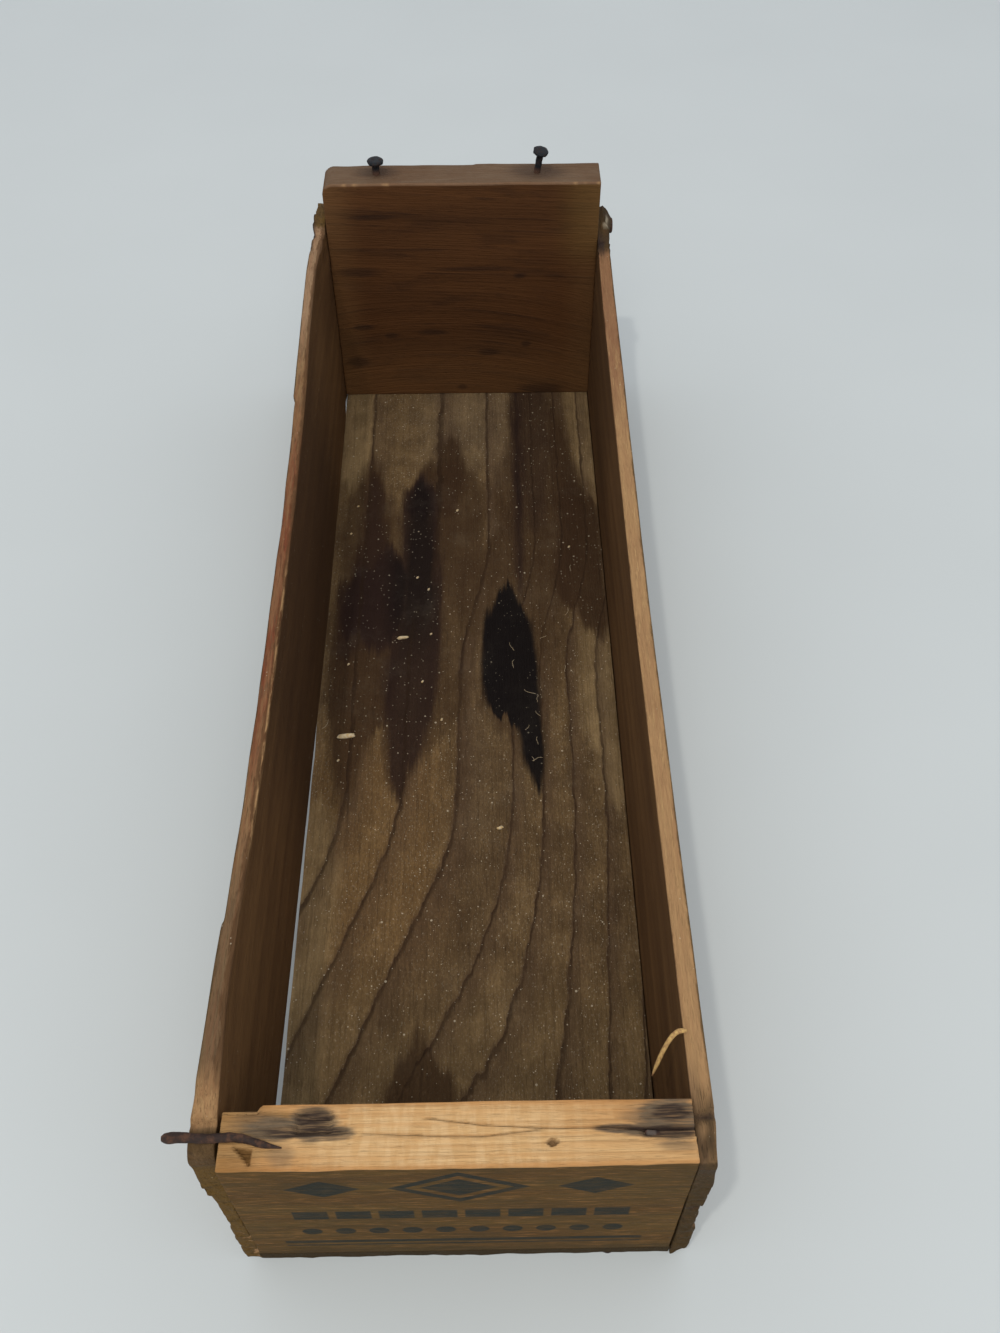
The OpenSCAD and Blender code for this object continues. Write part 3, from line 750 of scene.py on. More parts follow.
def side_wood(name, colours, look):
    """Thin brown side board with dirty ends, and a top that turns from one tone to another over a band."""
    material, graph, shader, place = new_material(name)
    x, y, z = graph.axes(place)
    from_front = y - FRONT_Y
    grain = graph.use("board grain", Place=graph.point(y, z, x), Ring_Gap=9.0, Uneven=1.6, Wander=14.0)
    start, stop, depth = look["soaked"]
    soaked = from_front.between(start - 35.0, start + 10.0, stop - 10.0, stop + 35.0)
    aged = graph.blend(grain["Tone"] * 0.7, colours.side_brown, colours.side_dark).coats(
        (colours.side_dark, grain["Rings"] * 0.4),
        (colours.side_dark, grain["Fibres"] * 0.35),
        (colours.stain_brown, grain["Pores"] * 0.3),
        (colours.stain_brown, soaked * depth),
        (colours.side_brown, from_front.rise(75.0, 30.0) * look["rubbed"]))

    top = graph.use("board grain", Place=graph.point(y, x, z), Ring_Gap=1.3, Uneven=1.6, Wander=3.0)
    mottle = graph.noise(place, (0.75, 0.06, 0.75), 5.0, 0.72).rise(0.4, 0.6)
    flecks = graph.noise(place, (1.5, 0.14, 1.5), 5.0, 0.72).rise(0.5, 0.68)
    start, stop = look["band"]
    inside = from_front.between(start - 25.0, start + 25.0, stop - 25.0, stop + 25.0)
    main, banded, fleck, front_end, rear_end = (getattr(colours, tone) for tone in look["top"])
    fresh = graph.blend(inside * (0.5 + mottle * 0.5), main, banded).coats(
        (banded, mottle * (0.35 - inside * 0.2)),
        (fleck, flecks * 0.55),
        (front_end, from_front.between(12.0, 22.0, 45.0, 75.0) * 0.62),
        (rear_end, from_front.rise(215.0, 250.0) * 0.6),
        (colours.right_top, from_front.rise(20.0, 10.0) * 0.8),
        (banded, top["Fibres"] * 0.25),
        (colours.weathered, top["Pores"] * look["pores"]))

    torn = (grain["Fibres"] - 0.5) * 0.35
    bared = (graph.mask("bared") + torn).rise(0.35, 0.65)
    across = graph.mask("across")
    ragged = (graph.noise(place, (0.8, 0.16, 0.8), 5.0, 0.7) - 0.5) * 1.1
    edged = bared * from_front.rise(8.0, 24.0) * 0.75
    inner_edge = (across + ragged).rise(look["inner_dark"], look["inner_dark"] - 0.2)
    outer_edge = (across + ragged * 0.4).rise(0.84, 0.98)
    chipped = graph.noise(place, (0.9, 0.13, 0.9), 5.0, 0.7).rise(0.44, 0.58)
    end = graph.mask("end") + (grain["Pores"] - 0.5) * 0.3
    layers = graph.noise(place, (0.5, 0.5, 2.4), 4.0, 0.65).rise(0.5, 0.7)
    end_tone = graph.blend(layers * 0.7, *(getattr(colours, tone) for tone in look["end"]))
    specks = graph.use("dust specks", Place=place, Cover=0.08)
    paint = aged.coats(
        (fresh, bared),
        (colours.side_dark, inner_edge * edged),
        (colours.weathered, outer_edge * edged),
        (colours.right_top, graph.mask("rim") * chipped * 0.85),
        (end_tone, end.rise(0.15, 0.9) * 0.9),
        (colours.rust_dark, graph.mask("grime") * 0.85),
        # Painted highlight: a pale spot in the dust colour on the right stub, by its nail head
        (colours.dust, graph.mask("shine") * 0.42),
        (colours.dust, specks["Mask"] * 0.45))
    height = grain["Fibres"] + top["Fibres"] * bared + grain["Pores"] * -0.6 + flecks
    rough = 0.76 + bared * 0.12 - graph.mask("grime") * 0.35
    finish_surface(graph, shader, paint, rough, height, 0.1 * MM)
    return material


def rusty_iron(colours):
    """Dark rusty iron of the nails, bare at the broken nail's end."""
    material, graph, shader, place = new_material("rusty iron")
    rust = graph.use("old rust", Place=place, Dark=colours.rust_dark, Brown=colours.rust_brown)
    broken_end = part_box("front_right_broken_nail")[0].x / MM
    x, _, z = graph.axes(place)
    bare = abs(x - (broken_end + 1.1)).rise(1.1, 0.6)
    paint = graph.blend(bare * z.rise(54.0, 55.0) * 0.2, rust["Colour"], colours.bare_iron)
    finish_surface(graph, shader, paint, rust["Roughness"], rust["Height"], 0.12 * MM)
    return material


def black_iron(colours):
    """Blackened iron of the lid nails, with rust where they enter the wood."""
    material, graph, shader, place = new_material("black iron")
    rust = graph.use("old rust", Place=place, Dark=colours.nail_black, Brown=colours.rust_dark)
    wood_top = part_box("rear_end_board")[1].z / MM
    foot = graph.axes(place)[2].rise(wood_top + 2.4, wood_top + 0.6)
    paint = graph.blend(foot * 0.7, rust["Colour"], colours.rust_brown)
    rough = rust["Roughness"] - 0.2
    finish_surface(graph, shader, paint, rough, rust["Height"], 0.05 * MM)
    return material


def plain_fibre(name, tone, shade):
    """Streaky pale fibre or crumb."""
    material, graph, shader, place = new_material(name)
    streaks = graph.noise(place, (1.5, 1.5, 0.4), 4.0, 0.6)
    paint = graph.blend(streaks.rise(0.3, 0.75), tone, shade)
    finish_surface(graph, shader, paint, 0.6 + streaks * 0.2, streaks, 0.05 * MM)
    return material


# Meshes


def box_mm(node):
    """Lowest and highest corners of a CAD node in millimetres."""
    return tuple(np.array(corner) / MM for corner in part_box(node))


def ease(values, start, stop):
    """Smooth rise from 0 at start to 1 at stop."""
    share = np.clip((values - start) / (stop - start), 0, 1)
    return share * share * (3 - 2 * share)


def window(values, start, stop, fade):
    """1 between start and stop, fading to 0 outside them."""
    return ease(values, start - fade, start) * ease(values, stop + fade, stop)


def rough(points, size, seed):
    """Smooth noise between -1 and 1, with bumps of about the given size along each axis."""
    shift = Vector((17.3, 5.1, 9.7)) * seed
    return np.array([noise.noise(Vector(point) + shift) for point in points / np.array(size)])


def cuts(low, high, step, edge=(0.15, 0.4, 0.8)):
    """Planes across a board, close together near both edges and a step apart between them."""
    count = max(1, round((high - low - 2 * edge[-1]) / step))
    middle = np.linspace(low + edge[-1], high - edge[-1], count + 1)
    near = [low] + [low + inset for inset in edge[:-1]]
    far = [high - inset for inset in reversed(edge[:-1])] + [high]
    return np.concatenate([near, middle, far])


def block_surface(planes):
    """Points and quads of a block's surface, cut by planes along X, Y and Z."""
    numbers = {}
    points = []
    quads = []

    def number(cell):
        if cell not in numbers:
            numbers[cell] = len(points)
            points.append([planes[axis][cell[axis]] for axis in range(3)])
        return numbers[cell]

    for axis in range(3):
        first, second = (axis + 1) % 3, (axis + 2) % 3
        for end in (0, len(planes[axis]) - 1):
            for i in range(len(planes[first]) - 1):
                for j in range(len(planes[second]) - 1):
                    quad = []
                    for step_i, step_j in ((0, 0), (1, 0), (1, 1), (0, 1)):
                        cell = [end, end, end]
                        cell[first], cell[second] = i + step_i, j + step_j
                        quad.append(number(tuple(cell)))
                    quads.append(quad if end else quad[::-1])
    return np.array(points), quads


def round_edges(points, low, high, radius):
    """Points of a block's surface with its edges worn round to the radius at each point."""
    reach = radius[:, None]
    core = np.clip(points, low + reach, high - reach)
    out = points - core
    return core + out / np.linalg.norm(out, axis=1, keepdims=True) * reach


def add_piece(name, points, faces, material, stands_for=(), masks=None):
    """New piece of the crate from points in millimetres, with the masks that its material reads."""
    mesh = bpy.data.meshes.new(name)
    mesh.from_pydata((points * MM).tolist(), [], faces)
    mesh.shade_smooth()
    for mask, values in (masks or {}).items():
        mesh.attributes.new(mask, "FLOAT", "POINT").data.foreach_set("value", values.astype(np.float32))
    mesh.materials.append(material)
    piece = bpy.data.objects.new(name, mesh)
    bpy.context.scene.collection.objects.link(piece)
    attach(piece, BODY)
    if stands_for:
        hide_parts(*stands_for)
    return piece


def rod(path, radii, around, lumps, seed):
    """Points and faces of a round rod along a path, with a radius at each point and lumps of rust."""
    path = np.asarray(path, float)
    tangents = np.gradient(path, axis=0)
    tangents /= np.linalg.norm(tangents, axis=1, keepdims=True)
    side = np.cross(tangents[0], (0.31, 0.52, 0.79))
    points = []
    for centre, tangent, radius in zip(path, tangents, radii):
        side = side - tangent * side.dot(tangent)
        side /= np.linalg.norm(side)
        other = np.cross(tangent, side)
        for turn in np.arange(around) * 2 * math.pi / around:
            ray = (math.cos(turn) * side + math.sin(turn) * other) * radius
            bump = noise.noise(Vector((centre + ray) * 0.8) + Vector((seed, 0, 0)))
            points.append(centre + ray * (1 + lumps * bump))
    faces = [list(range(around))[::-1], [len(points) - around + k for k in range(around)]]
    for ring in range(len(path) - 1):
        for k in range(around):
            here, there = ring * around + k, ring * around + (k + 1) % around
            faces.append([here, there, there + around, here + around])
    return np.array(points), faces


# Boards


def make_bottom_board(wear, colours):
    """Thin bottom board with a ragged front edge."""
    low, high = box_mm("bottom_board")
    points, quads = block_surface([
        cuts(low[0], high[0], 1.4), cuts(low[1], high[1], 1.3), cuts(low[2], high[2], 0.9)])
    from_front = points[:, 1] - low[1]
    ragged = ease(from_front, 2.5, 0.5)
    uneven = 0.6 + 0.4 * rough(points, (9, 14, 9), 3)
    radius = wear.edge_radius / MM * uneven + ragged * 0.5 * np.clip(rough(points, (3.2, 9, 9), 4), 0, 1)
    formed = round_edges(points, low, high, np.clip(radius, 0.1, 1.8))
    torn = ragged * ease(points[:, 2], high[2], low[2])
    frayed = 0.2 + 0.2 * rough(points, (5, 9, 1.6), 5) + 0.1 * rough(points, (1.4, 9, 1.2), 8)
    formed[:, 1] += torn * frayed
    formed[:, 2] += 0.12 * rough(points, (30, 120, 30), 6)
    formed[:, 2] = np.maximum(formed[:, 2], low[2])
    left_edge = ease(points[:, 0], low[0] + 1.0, low[0])
    right_edge = ease(points[:, 0], high[0] - 1.0, high[0])
    formed[:, 0] += (right_edge * 0.6 - left_edge * 1.6) * ease(from_front, 12, 7)
    formed[:, 0] += left_edge * (0.25 * rough(points, (9, 12, 9), 7) - 0.75 * ease(from_front, 125, 165))
    grime = np.maximum(ragged, ease(points[:, 2], low[2] + 3.5, low[2] + 0.5) * 0.6)
    add_piece(
        "bottom_board_wood", formed, quads, bottom_wood(colours), ["bottom_board"],
        {"grime": grime})


# Cracks in the front board's break, each as places across the crate and back from the front face
FRONT_CRACKS = (
    ((-16, 6.4), (-6, 5.9), (4, 5.6), (14, 6.5)),
    ((-5, 8.9), (4, 7.7), (18, 6.8), (26, 7), (34, 6.3)),
)
FRONT_CHIP = ((-39.9, 4.5), (-36.5, 3.9), (-36.3, 0.5))


def inside_corners(across, along, corners):
    """How far places lie inside a shape whose corners run clockwise, negative outside it."""
    inside = np.full(len(across), np.inf)
    for (x0, y0), (x1, y1) in zip(corners, corners[1:] + corners[:1]):
        side = (across - x0) * (y0 - y1) + (along - y0) * (x1 - x0)
        inside = np.minimum(inside, -side / math.hypot(x1 - x0, y1 - y0))
    return inside


def make_front_board(wear, colours):
    """Thick front board with a fibrous, cracked break on top."""
    low, high = box_mm("front_end_board")
    points, quads = block_surface([
        cuts(low[0], high[0], 0.5), cuts(low[1], high[1], 0.2), cuts(low[2], high[2], 1.3)])
    x = points[:, 0]
    depth = points[:, 1] - low[1]
    top = high[2]
    near_top = ease(points[:, 2], top - 2.5, top)
    radius = wear.edge_radius / MM * (0.7 + 0.5 * rough(points, (6, 6, 6), 11))
    formed = round_edges(points, low, high, np.clip(radius, 0.12, 1.2))

    fibres = 0.7 * rough(points, (12, 0.8, 40), 12) + 0.5 * rough(points, (30, 3, 40), 13)
    lift = wear.break_relief / MM * fibres
    lift += 0.8 * ease(x, -4, 42) * ease(depth, 8, 0)
    torn_left = window(x, -38, -21, 3) * window(depth, 5.8, 10.4, 0.8)
    torn_right = window(x, 34, 43, 3) * window(depth, 4.5, 10.5, 1)
    lift += np.maximum(torn_left, torn_right) * (0.6 * rough(points, (4, 0.7, 40), 14) - 0.2)
    pocket = window(x, -28.4, -23.2, 1.2) * window(depth, 6.9, 10.2, 0.7)
    lift -= pocket * (0.9 + 0.5 * rough(points, (2.5, 0.9, 40), 17))
    grime = np.zeros(len(points))
    for crack in FRONT_CRACKS:
        places = np.array(crack)
        line = np.interp(x, places[:, 0], places[:, 1]) + 0.12 * rough(points, (3, 900, 900), 15)
        reach = window(x, places[0, 0], places[-1, 0], 2)
        groove = reach * np.exp(-((depth - line) / 0.16) ** 2)
        lift -= groove * wear.crack_depth / MM
        grime = np.maximum(grime, groove * 0.42)
    hole = np.abs(x - 16.9) / 1.55 + np.abs(depth - 4.3) / 1.1
    lift -= 1.4 * ease(hole, 0.95, 0.45)
    grime = np.maximum(grime, 0.7 * ease(hole, 1.1, 0.5))
    chip = ease(inside_corners(x, depth, FRONT_CHIP), -0.05, 0.22)
    lift -= 0.9 * chip
    nail_low, nail_high = box_mm("front_right_broken_nail")
    nail_y = (nail_low[1] + nail_high[1]) / 2 - low[1]
    beside = ease(x, nail_low[0] - 6.5, nail_low[0]) * np.exp(-((depth - nail_y - 0.75) / 0.35) ** 2)
    bed = ease(x, nail_low[0] - 0.6, nail_low[0]) * ease(np.abs(depth - nail_y), 1.15, 0.6)
    lift -= 0.7 * beside + 0.5 * bed
    grime = np.maximum(grime, beside)
    formed[:, 2] += near_top * lift
    missing = ease(x, -35.4, -36.2) * ease(points[:, 2], top - 16, top) * ease(depth, 10.2, 11.2)
    formed[:, 1] -= missing * 1.15
    edge_torn = ease(depth, 1.2, 0.0) * near_top
    formed[:, 1] += edge_torn * 0.22 * (rough(points, (4, 9, 9), 16) + 0.4)
    bared = np.maximum(ease(points[:, 2], top - 0.9, top - 0.1), missing)
    add_piece(
        "front_board_wood", formed, quads, front_wood(colours), ["front_end_board"],
        {"bared": bared, "grime": grime * near_top, "chipped": chip * near_top})


def make_rear_board(wear, colours):
    """Thick rear board at its full height, with a worn left corner and a chipped inner edge."""
    low, high = box_mm("rear_end_board")
    points, quads = block_surface([
        cuts(low[0], high[0], 1.0), cuts(low[1], high[1], 0.8), cuts(low[2], high[2], 1.2)])
    top = high[2]
    near_top = ease(points[:, 2], top - 2.5, top)
    inner = ease(points[:, 1], low[1] + 1.5, low[1])
    chips = ease(rough(points, (1.8, 20, 20), 21) + 0.5 * rough(points, (14, 20, 20), 22), 0.3, 0.6)
    chips *= near_top * inner
    radius = wear.edge_radius / MM * (1.0 + 0.5 * rough(points, (9, 9, 9), 23)) + 0.35 * chips
    formed = round_edges(points, low, high, np.clip(radius, 0.15, 1.5))
    corner = 3.4
    arc_x, arc_z = low[0] + corner, top - corner
    out_x, out_z = formed[:, 0] - arc_x, formed[:, 2] - arc_z
    inside = (out_x < 0) & (out_z > 0)
    square = np.maximum(np.abs(out_x), np.abs(out_z))
    scale = np.where(inside, square / np.maximum(np.hypot(out_x, out_z), 1e-6), 1.0)
    formed[:, 0] = arc_x + out_x * scale
    formed[:, 2] = arc_z + out_z * scale
    formed[:, 2] += near_top * (0.2 * rough(points, (26, 60, 60), 24) + 0.1 * rough(points, (5, 3, 9), 25))
    formed[:, 2] -= near_top * 0.25 * ease(points[:, 1], high[1] - 4, high[1]) * ease(points[:, 0], 4.6, 4.0)
    dusty = ease(points[:, 2], top - 1.0, top - 0.2)
    rim = ease(points[:, 2], top - 0.9, top - 0.3) * ease(points[:, 1], low[1] + 0.7, low[1] + 0.3)
    add_piece(
        "rear_board_wood", formed, quads, rear_wood(colours), ["rear_end_board"],
        {"dusty": dusty, "rim": rim, "bared": chips * rim})


def outline_hits(node, starts, direction):
    """Where rays from the starts, in millimetres, first meet a CAD node."""
    places = []
    for start in starts:
        hit, place, _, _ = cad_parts[node].ray_cast(Vector(start) * MM, Vector(direction))
        if not hit:
            raise RuntimeError(f"no part of {node} lies along the ray from {tuple(start)}")
        places.append(np.array(place) / MM)
    return np.array(places)


# Looks of each side: the radius of its upper front corner, where its top turns to a second tone, how much of
# the top is dark along the inner edge, where and how deeply its faces are soaked, how rubbed they are near
# the front, how open the top's pores are, the tones of its ends, and those of its top, of the band, of
# flecks and of the top's front and rear parts
SIDE_LOOKS = {
    "left": {
        "corner": 3.5, "band": (85.0, 195.0), "inner_dark": 0.4, "soaked": (108.0, 215.0, 0.64),
        "rubbed": 0.18, "pores": 0.6, "end": ("front_olive", "weathered"),
        "top": ("left_top", "left_red", "left_grey", "left_grey", "left_pink")},
    "right": {
        "corner": 1.4, "band": (205.0, 340.0), "inner_dark": 0.0, "soaked": (220.0, 320.0, 0.32),
        "rubbed": 0.0, "pores": 0.25, "end": ("weathered", "side_dark"),
        "top": ("right_top", "right_warm", "fresh_pale", "right_top", "right_warm")},
}


def cut_side(side):
    """Side board cut to its CAD outline, with the places on it that its wear is worked out from."""
    node = f"{side}_side_board"
    low, high = box_mm(node)
    outward = -1 if side == "left" else 1
    points, quads = block_surface([
        cuts(low[0], high[0], 0.45, (0.12, 0.3, 0.6)),
        cuts(low[1], high[1], 0.9),
        cuts(low[2], high[2], 0.85)])
    middle = (low[0] + high[0]) / 2
    heights = np.linspace(low[2] + 1, 50, 26)
    front_end = outline_hits(node, [(middle, low[1] - 9, z) for z in heights], (0, 1, 0))[:, 1] - low[1]
    reaches = np.linspace(low[1] + front_end.max() + 2.5, high[1] - 0.3, 290)
    tops = outline_hits(node, [(middle, y, high[2] + 9) for y in reaches], (0, 0, -1))[:, 2]
    from_front = points[:, 1] - low[1]
    top = np.interp(points[:, 1], reaches, tops)
    corner = SIDE_LOOKS[side]["corner"]
    short = np.clip(corner - from_front, 0, corner)
    top -= corner - np.sqrt(corner ** 2 - short ** 2)
    share = (points[:, 2] - low[2]) / (high[2] - low[2])
    points[:, 2] = low[2] + share * (top - low[2])
    height = points[:, 2].copy()
    limits = np.tile(high, (len(points), 1))
    limits[:, 2] = top
    ridges = rough(points, (3.0, 60, 1.7), 44 + outward) + 0.5 * rough(points, (1.5, 60, 1.1), 47 + outward)
    outer = (points[:, 0] - middle) * outward / (high[0] - low[0]) + 0.5
    return SimpleNamespace(
        node=node, outward=outward, low=low, limits=limits, points=points, quads=quads, outer=outer,
        from_front=from_front, height=height, top=top, ridges=ridges, near_top=ease(height, top - 2.0, top),
        at_front=ease(from_front, 5, 0.5), inset=np.interp(height, heights, front_end))


def wear_side(board, wear):
    """Worn surface of a side board: a dented and ridged front end, and torn fibres on top."""
    points, outward, outer, height = board.points, board.outward, board.outer, board.height
    dents = rough(points, (60, 60, 5.2), 31 + outward) + 0.6 * rough(points, (60, 60, 2.4), 33 + outward)
    low_part = ease(height, 46, 28)
    radius = wear.edge_radius / MM * (0.8 + 0.4 * rough(points, (9, 12, 9), 35))
    dented = board.at_front * outer * low_part
    radius = radius + dented * (0.4 + 0.6 * np.clip(dents, 0, 1)) * wear.ripple_depth / MM
    formed = round_edges(points, board.low, board.limits, np.clip(radius, 0.12, 1.65))
    formed[:, 0] += outward * dented * 1.1 * dents
    formed[:, 1] += dented * 0.5 * np.clip(dents, -1, 1)
    formed[:, 1] += ease(board.from_front, 2.5, 0.3) * ease(height, 50, 40) * 0.6 * board.ridges
    formed[:, 0] += outward * outer * ease(board.from_front, 4, 0.5) * low_part * 0.35 * board.ridges
    fibres = 0.8 * rough(points, (0.7, 14, 30), 36) + 0.8 * rough(points, (2.2, 30, 30), 37)
    formed[:, 2] += board.near_top * wear.break_relief / MM * 1.3 * fibres
    formed[:, 1] += board.inset * ease(board.from_front, 30, 0)
    formed[:, 0] += 0.12 * rough(points, (60, 40, 25), 38)
    return formed


def mark(masks, name, values):
    """Raises a mask to the values where these are higher."""
    masks[name] = np.maximum(masks[name], values)


def side_masks(board):
    """Masks that both sides carry."""
    from_front, height, top, outer = board.from_front, board.height, board.top, board.outer
    outer_rim = ease(outer, 0.8, 0.95) * ease(height, top - 2, top - 0.5) * 0.5
    end = np.maximum(ease(from_front, 1.8, 0.5) * ease(height, top - 1.5, top - 4), outer_rim)
    rim = ease(outer, 0.2, 0.06) * ease(height, top - 1.2, top - 0.4) * window(from_front, 72, 140, 12)
    nothing = np.zeros(len(outer))
    return {
        "bared": ease(height, top - 0.8, top - 0.15), "grime": nothing, "rim": rim, "end": end,
        "shine": nothing, "across": outer}


def wear_stub(board, side, formed, masks):
    """Dirty, lumpy stub round the side's upper rear nail, with a crust and a painted highlight on the right
    one.
    """
    height, outer, from_front, outward = board.height, board.outer, board.from_front, board.outward
    nail_low, nail_high = box_mm(f"rear_{side}_upper_nail")
    nail_y = (nail_low[1] + nail_high[1]) / 2 - board.low[1]
    head_top = nail_high[2]
    stub = ease(height, 59.5, 62.5) * ease(from_front, 270, 280)
    lumps = 0.5 * rough(board.points, (1.6, 2.2, 2.2), 39) + 0.3 * rough(board.points, (0.8, 1.1, 1.1), 40)
    thinned = ease(height, head_top - 0.5, head_top + 2.5)
    if side == "left":
        thinned = thinned * 0.5 + 0.25 * window(height, head_top - 3.5, head_top - 1.5, 1.5)
        burnt = stub * ease(height, head_top - 1.5, head_top + 0.5)
        soiled = 0.2 + 0.7 * lumps
        mark(masks, "grime", stub * ease(outer, 0.7, 0.95) * window(height, head_top - 4.5, head_top + 1, 1))
    else:
        thinned = thinned * 1.2
        burnt = stub
        hollow = window(outer, 0.0, 0.45, 0.2) * window(height, head_top - 3.6, head_top - 1.6, 1.2)
        soiled = 0.2 + 0.7 * lumps + 0.8 * hollow
        # Painted highlight: a pale spot just above the right nail head
        highlight_spot = ease(outer, 0.55, 0.8) * window(height, head_top + 0.9, head_top + 1.6, 0.4)
        mark(masks, "shine", highlight_spot * window(from_front, 282, 288, 2))
    formed[:, 0] -= outward * outer * thinned * stub
    formed[:, 0] += lumps * stub * outward * 0.8
    formed[:, 1:] += (lumps * stub)[:, None] * 0.9
    if side == "right":
        crust = np.exp(-((height - head_top + 1.4) / 2.3) ** 2 - ((from_front - nail_y) / 3.4) ** 2) * outer
        formed[:, 0] += crust * (1.5 + 0.4 * lumps)
    mark(masks, "grime", burnt * soiled)
    mark(masks, "end", burnt)


# Left side: places from the front, and how far its foot and its top stand to the right there
LEFT_FOOT = ((0, 30, 80, 115, 150, 293), (1.1, 1.4, 1.7, 2.0, 2.2, 1.6))
LEFT_TOP = (
    (0, 40, 70, 110, 170, 200, 220, 250, 265, 277, 284, 292),
    (-0.75, -0.5, -0.1, 0.12, 0.2, -0.15, -0.5, -0.9, -0.9, -0.5, 0.1, 0.6))


def shape_left(board, formed, masks):
    """Lean, lifted foot, wear and painted shade of the left side alone."""
    from_front, height, top, outer = board.from_front, board.height, board.top, board.outer
    inner = 1 - outer
    foot = board.low[2]
    uneven = 3.0 + 0.6 * rough(board.points, (90, 40, 90), 42) + ease(from_front, 160, 120)
    raised = window(from_front, 22, 275, 12) * uneven
    formed[:, 2] += raised * ease(height, foot + 9, foot) * (1 + 0.9 * outer)
    foot_shift = np.interp(from_front, *LEFT_FOOT)
    top_shift = np.interp(from_front, *LEFT_TOP)
    formed[:, 0] += foot_shift + (top_shift - foot_shift) * np.clip(height / top, 0, 1) ** 2.2
    formed[:, 0] -= inner * 0.5 * window(from_front, 240, 282, 25) * ease(height, top - 14, top - 2)
    beside_end = ease(from_front, 262, 281)
    formed[:, 0] += inner * 0.8 * beside_end
    end_left = box_mm("rear_end_board")[0][0] - 0.1
    formed[:, 0] += beside_end * (np.minimum(formed[:, 0], end_left) - formed[:, 0])
    stepped = window(from_front, 49, 207, 1.4) * ease(height, top - 6, top - 4)
    formed[:, 0] += stepped * outer * 0.35
    formed[:, 0] += inner * 0.9 * ease(from_front, 34, 12) * ease(height, 30, 48)
    formed[:, 0] += board.at_front * outer * 0.5 * (ease(height, 40, 36.5) - ease(height, 30, 14))
    flare = window(from_front, 0, 5, 7) * window(height, 44, 60, 10)
    formed[:, 0] -= flare * outer * 0.6
    split = window(from_front, 48, 208, 1.5) * ease(height, top - 5.5, top - 4)
    formed[:, 0] += split * outer * (0.15 + 0.2 * rough(board.points, (90, 12, 90), 43))
    formed[:, 2] += ease(from_front, 9, 0) * ease(height, 6, 0) * outer * 2.0
    formed[:, 2] -= ease(from_front, 16, 4) * board.near_top * 0.8 * outer
    mark(masks, "bared", 0.35 * ease(from_front, 3.0, 0.5) * ease(height, 48, 54))
    slope = ease(from_front, 6.5, 4.6)
    mark(masks, "end", slope * (0.9 + 0.3 * rough(board.points, (2.5, 4, 6), 41)))
    # Painted shade: darkens the slope at the top of the front end, through the grime mask
    mark(masks, "grime", 0.55 * slope * board.near_top)
    scuffed = ease(from_front, 3, 0.8) * window(height, 3, 17, 4) * ease(outer, 0.9, 0.3)
    scuffed = scuffed * ease(board.ridges, 0.0, 0.4)
    mark(masks, "bared", scuffed)
    masks["end"] = masks["end"] * (1 - 0.75 * scuffed)


def shape_right(board, formed, masks):
    """Lean, crack, notch and soot of the right side alone."""
    from_front, height, top, outer = board.from_front, board.height, board.top, board.outer
    formed[:, 0] += np.interp(from_front, (0, 40, 80, 130), (0.4, 0.3, 0.2, 0.0)) * height / 58
    formed[:, 0] += (outer - 0.5) * 0.45 * ease(height, 25, 50) * ease(from_front, 290, 240)
    formed[:, 0] += 0.5 * ease(from_front, 40, 0) * ease(height, 40, 0)
    formed[:, 0] -= outer * 0.65 * ease(from_front, 9, 1) * ease(height, 45, 53)
    formed[:, 2] += ease(from_front, 9, 0) * ease(height, 6, 0) * outer * 2.5
    crack = np.exp(-((height - 21 - 0.25 * board.points[:, 0]) / 0.45) ** 2) * ease(from_front, 6, 0)
    formed[:, 1] += crack * 1.2 * outer
    notch = np.exp(-((from_front - 8.9 - 0.8 * (outer - 0.5)) / 0.7) ** 2) * board.near_top
    formed[:, 2] -= notch * 0.9
    patchy = 0.72 + 0.35 * rough(board.points, (1.4, 4, 9), 41)
    soot = ease(from_front, 20, 9) * ease(height, top - 4, top - 1) * patchy
    corner = np.exp(-((outer - 0.4) / 0.22) ** 2 - ((from_front - 1.8) / 1.8) ** 2) * board.near_top * 0.7
    # Darker over the inner half of the top near the front
    inner_darkening = ease(outer, 0.6, 0.3) * ease(from_front, 24, 12) * board.near_top * 0.5
    for values in (crack, corner, 0.45 * soot, notch, inner_darkening):
        mark(masks, "grime", values)
    mark(masks, "end", soot)
    mark(masks, "end", ease(from_front, 1.6, 0.4))
    masks["rim"] = masks["rim"] * 0.3


def make_side_board(side, wear, colours):
    """Thin side board with a broken top, which follows the CAD board's outline."""
    board = cut_side(side)
    formed = wear_side(board, wear)
    masks = side_masks(board)
    wear_stub(board, side, formed, masks)
    shape = shape_left if side == "left" else shape_right
    shape(board, formed, masks)
    material = side_wood(f"{side} side wood", colours, SIDE_LOOKS[side])
    add_piece(f"{side}_side_wood", formed, board.quads, material, [board.node], masks)


# Nails


NAIL_SIDES = 20
# How much lumpier the nails are that the break has bared
MORE_RUST = 1.3


def nail_outline(head_r, shank_r, total, head_t=0.8):
    """Distances from the top of a nail's head, and the nail's radius at each."""
    point = 3.0
    steps = [(0.0, 0.55 * head_r), (0.02, 0.8 * head_r), (0.12, 0.95 * head_r), (0.35, head_r)]
    steps += [(head_t - 0.2, 0.97 * head_r), (head_t, 0.8 * head_r), (head_t + 0.5, 1.25 * shank_r)]
    steps += [(along, shank_r) for along in np.arange(head_t + 1.0, total - point, 0.8)]
    steps += [(total - point, shank_r), (total - 1.0, 0.45 * shank_r), (total, 0.15 * shank_r)]
    return np.array(steps)


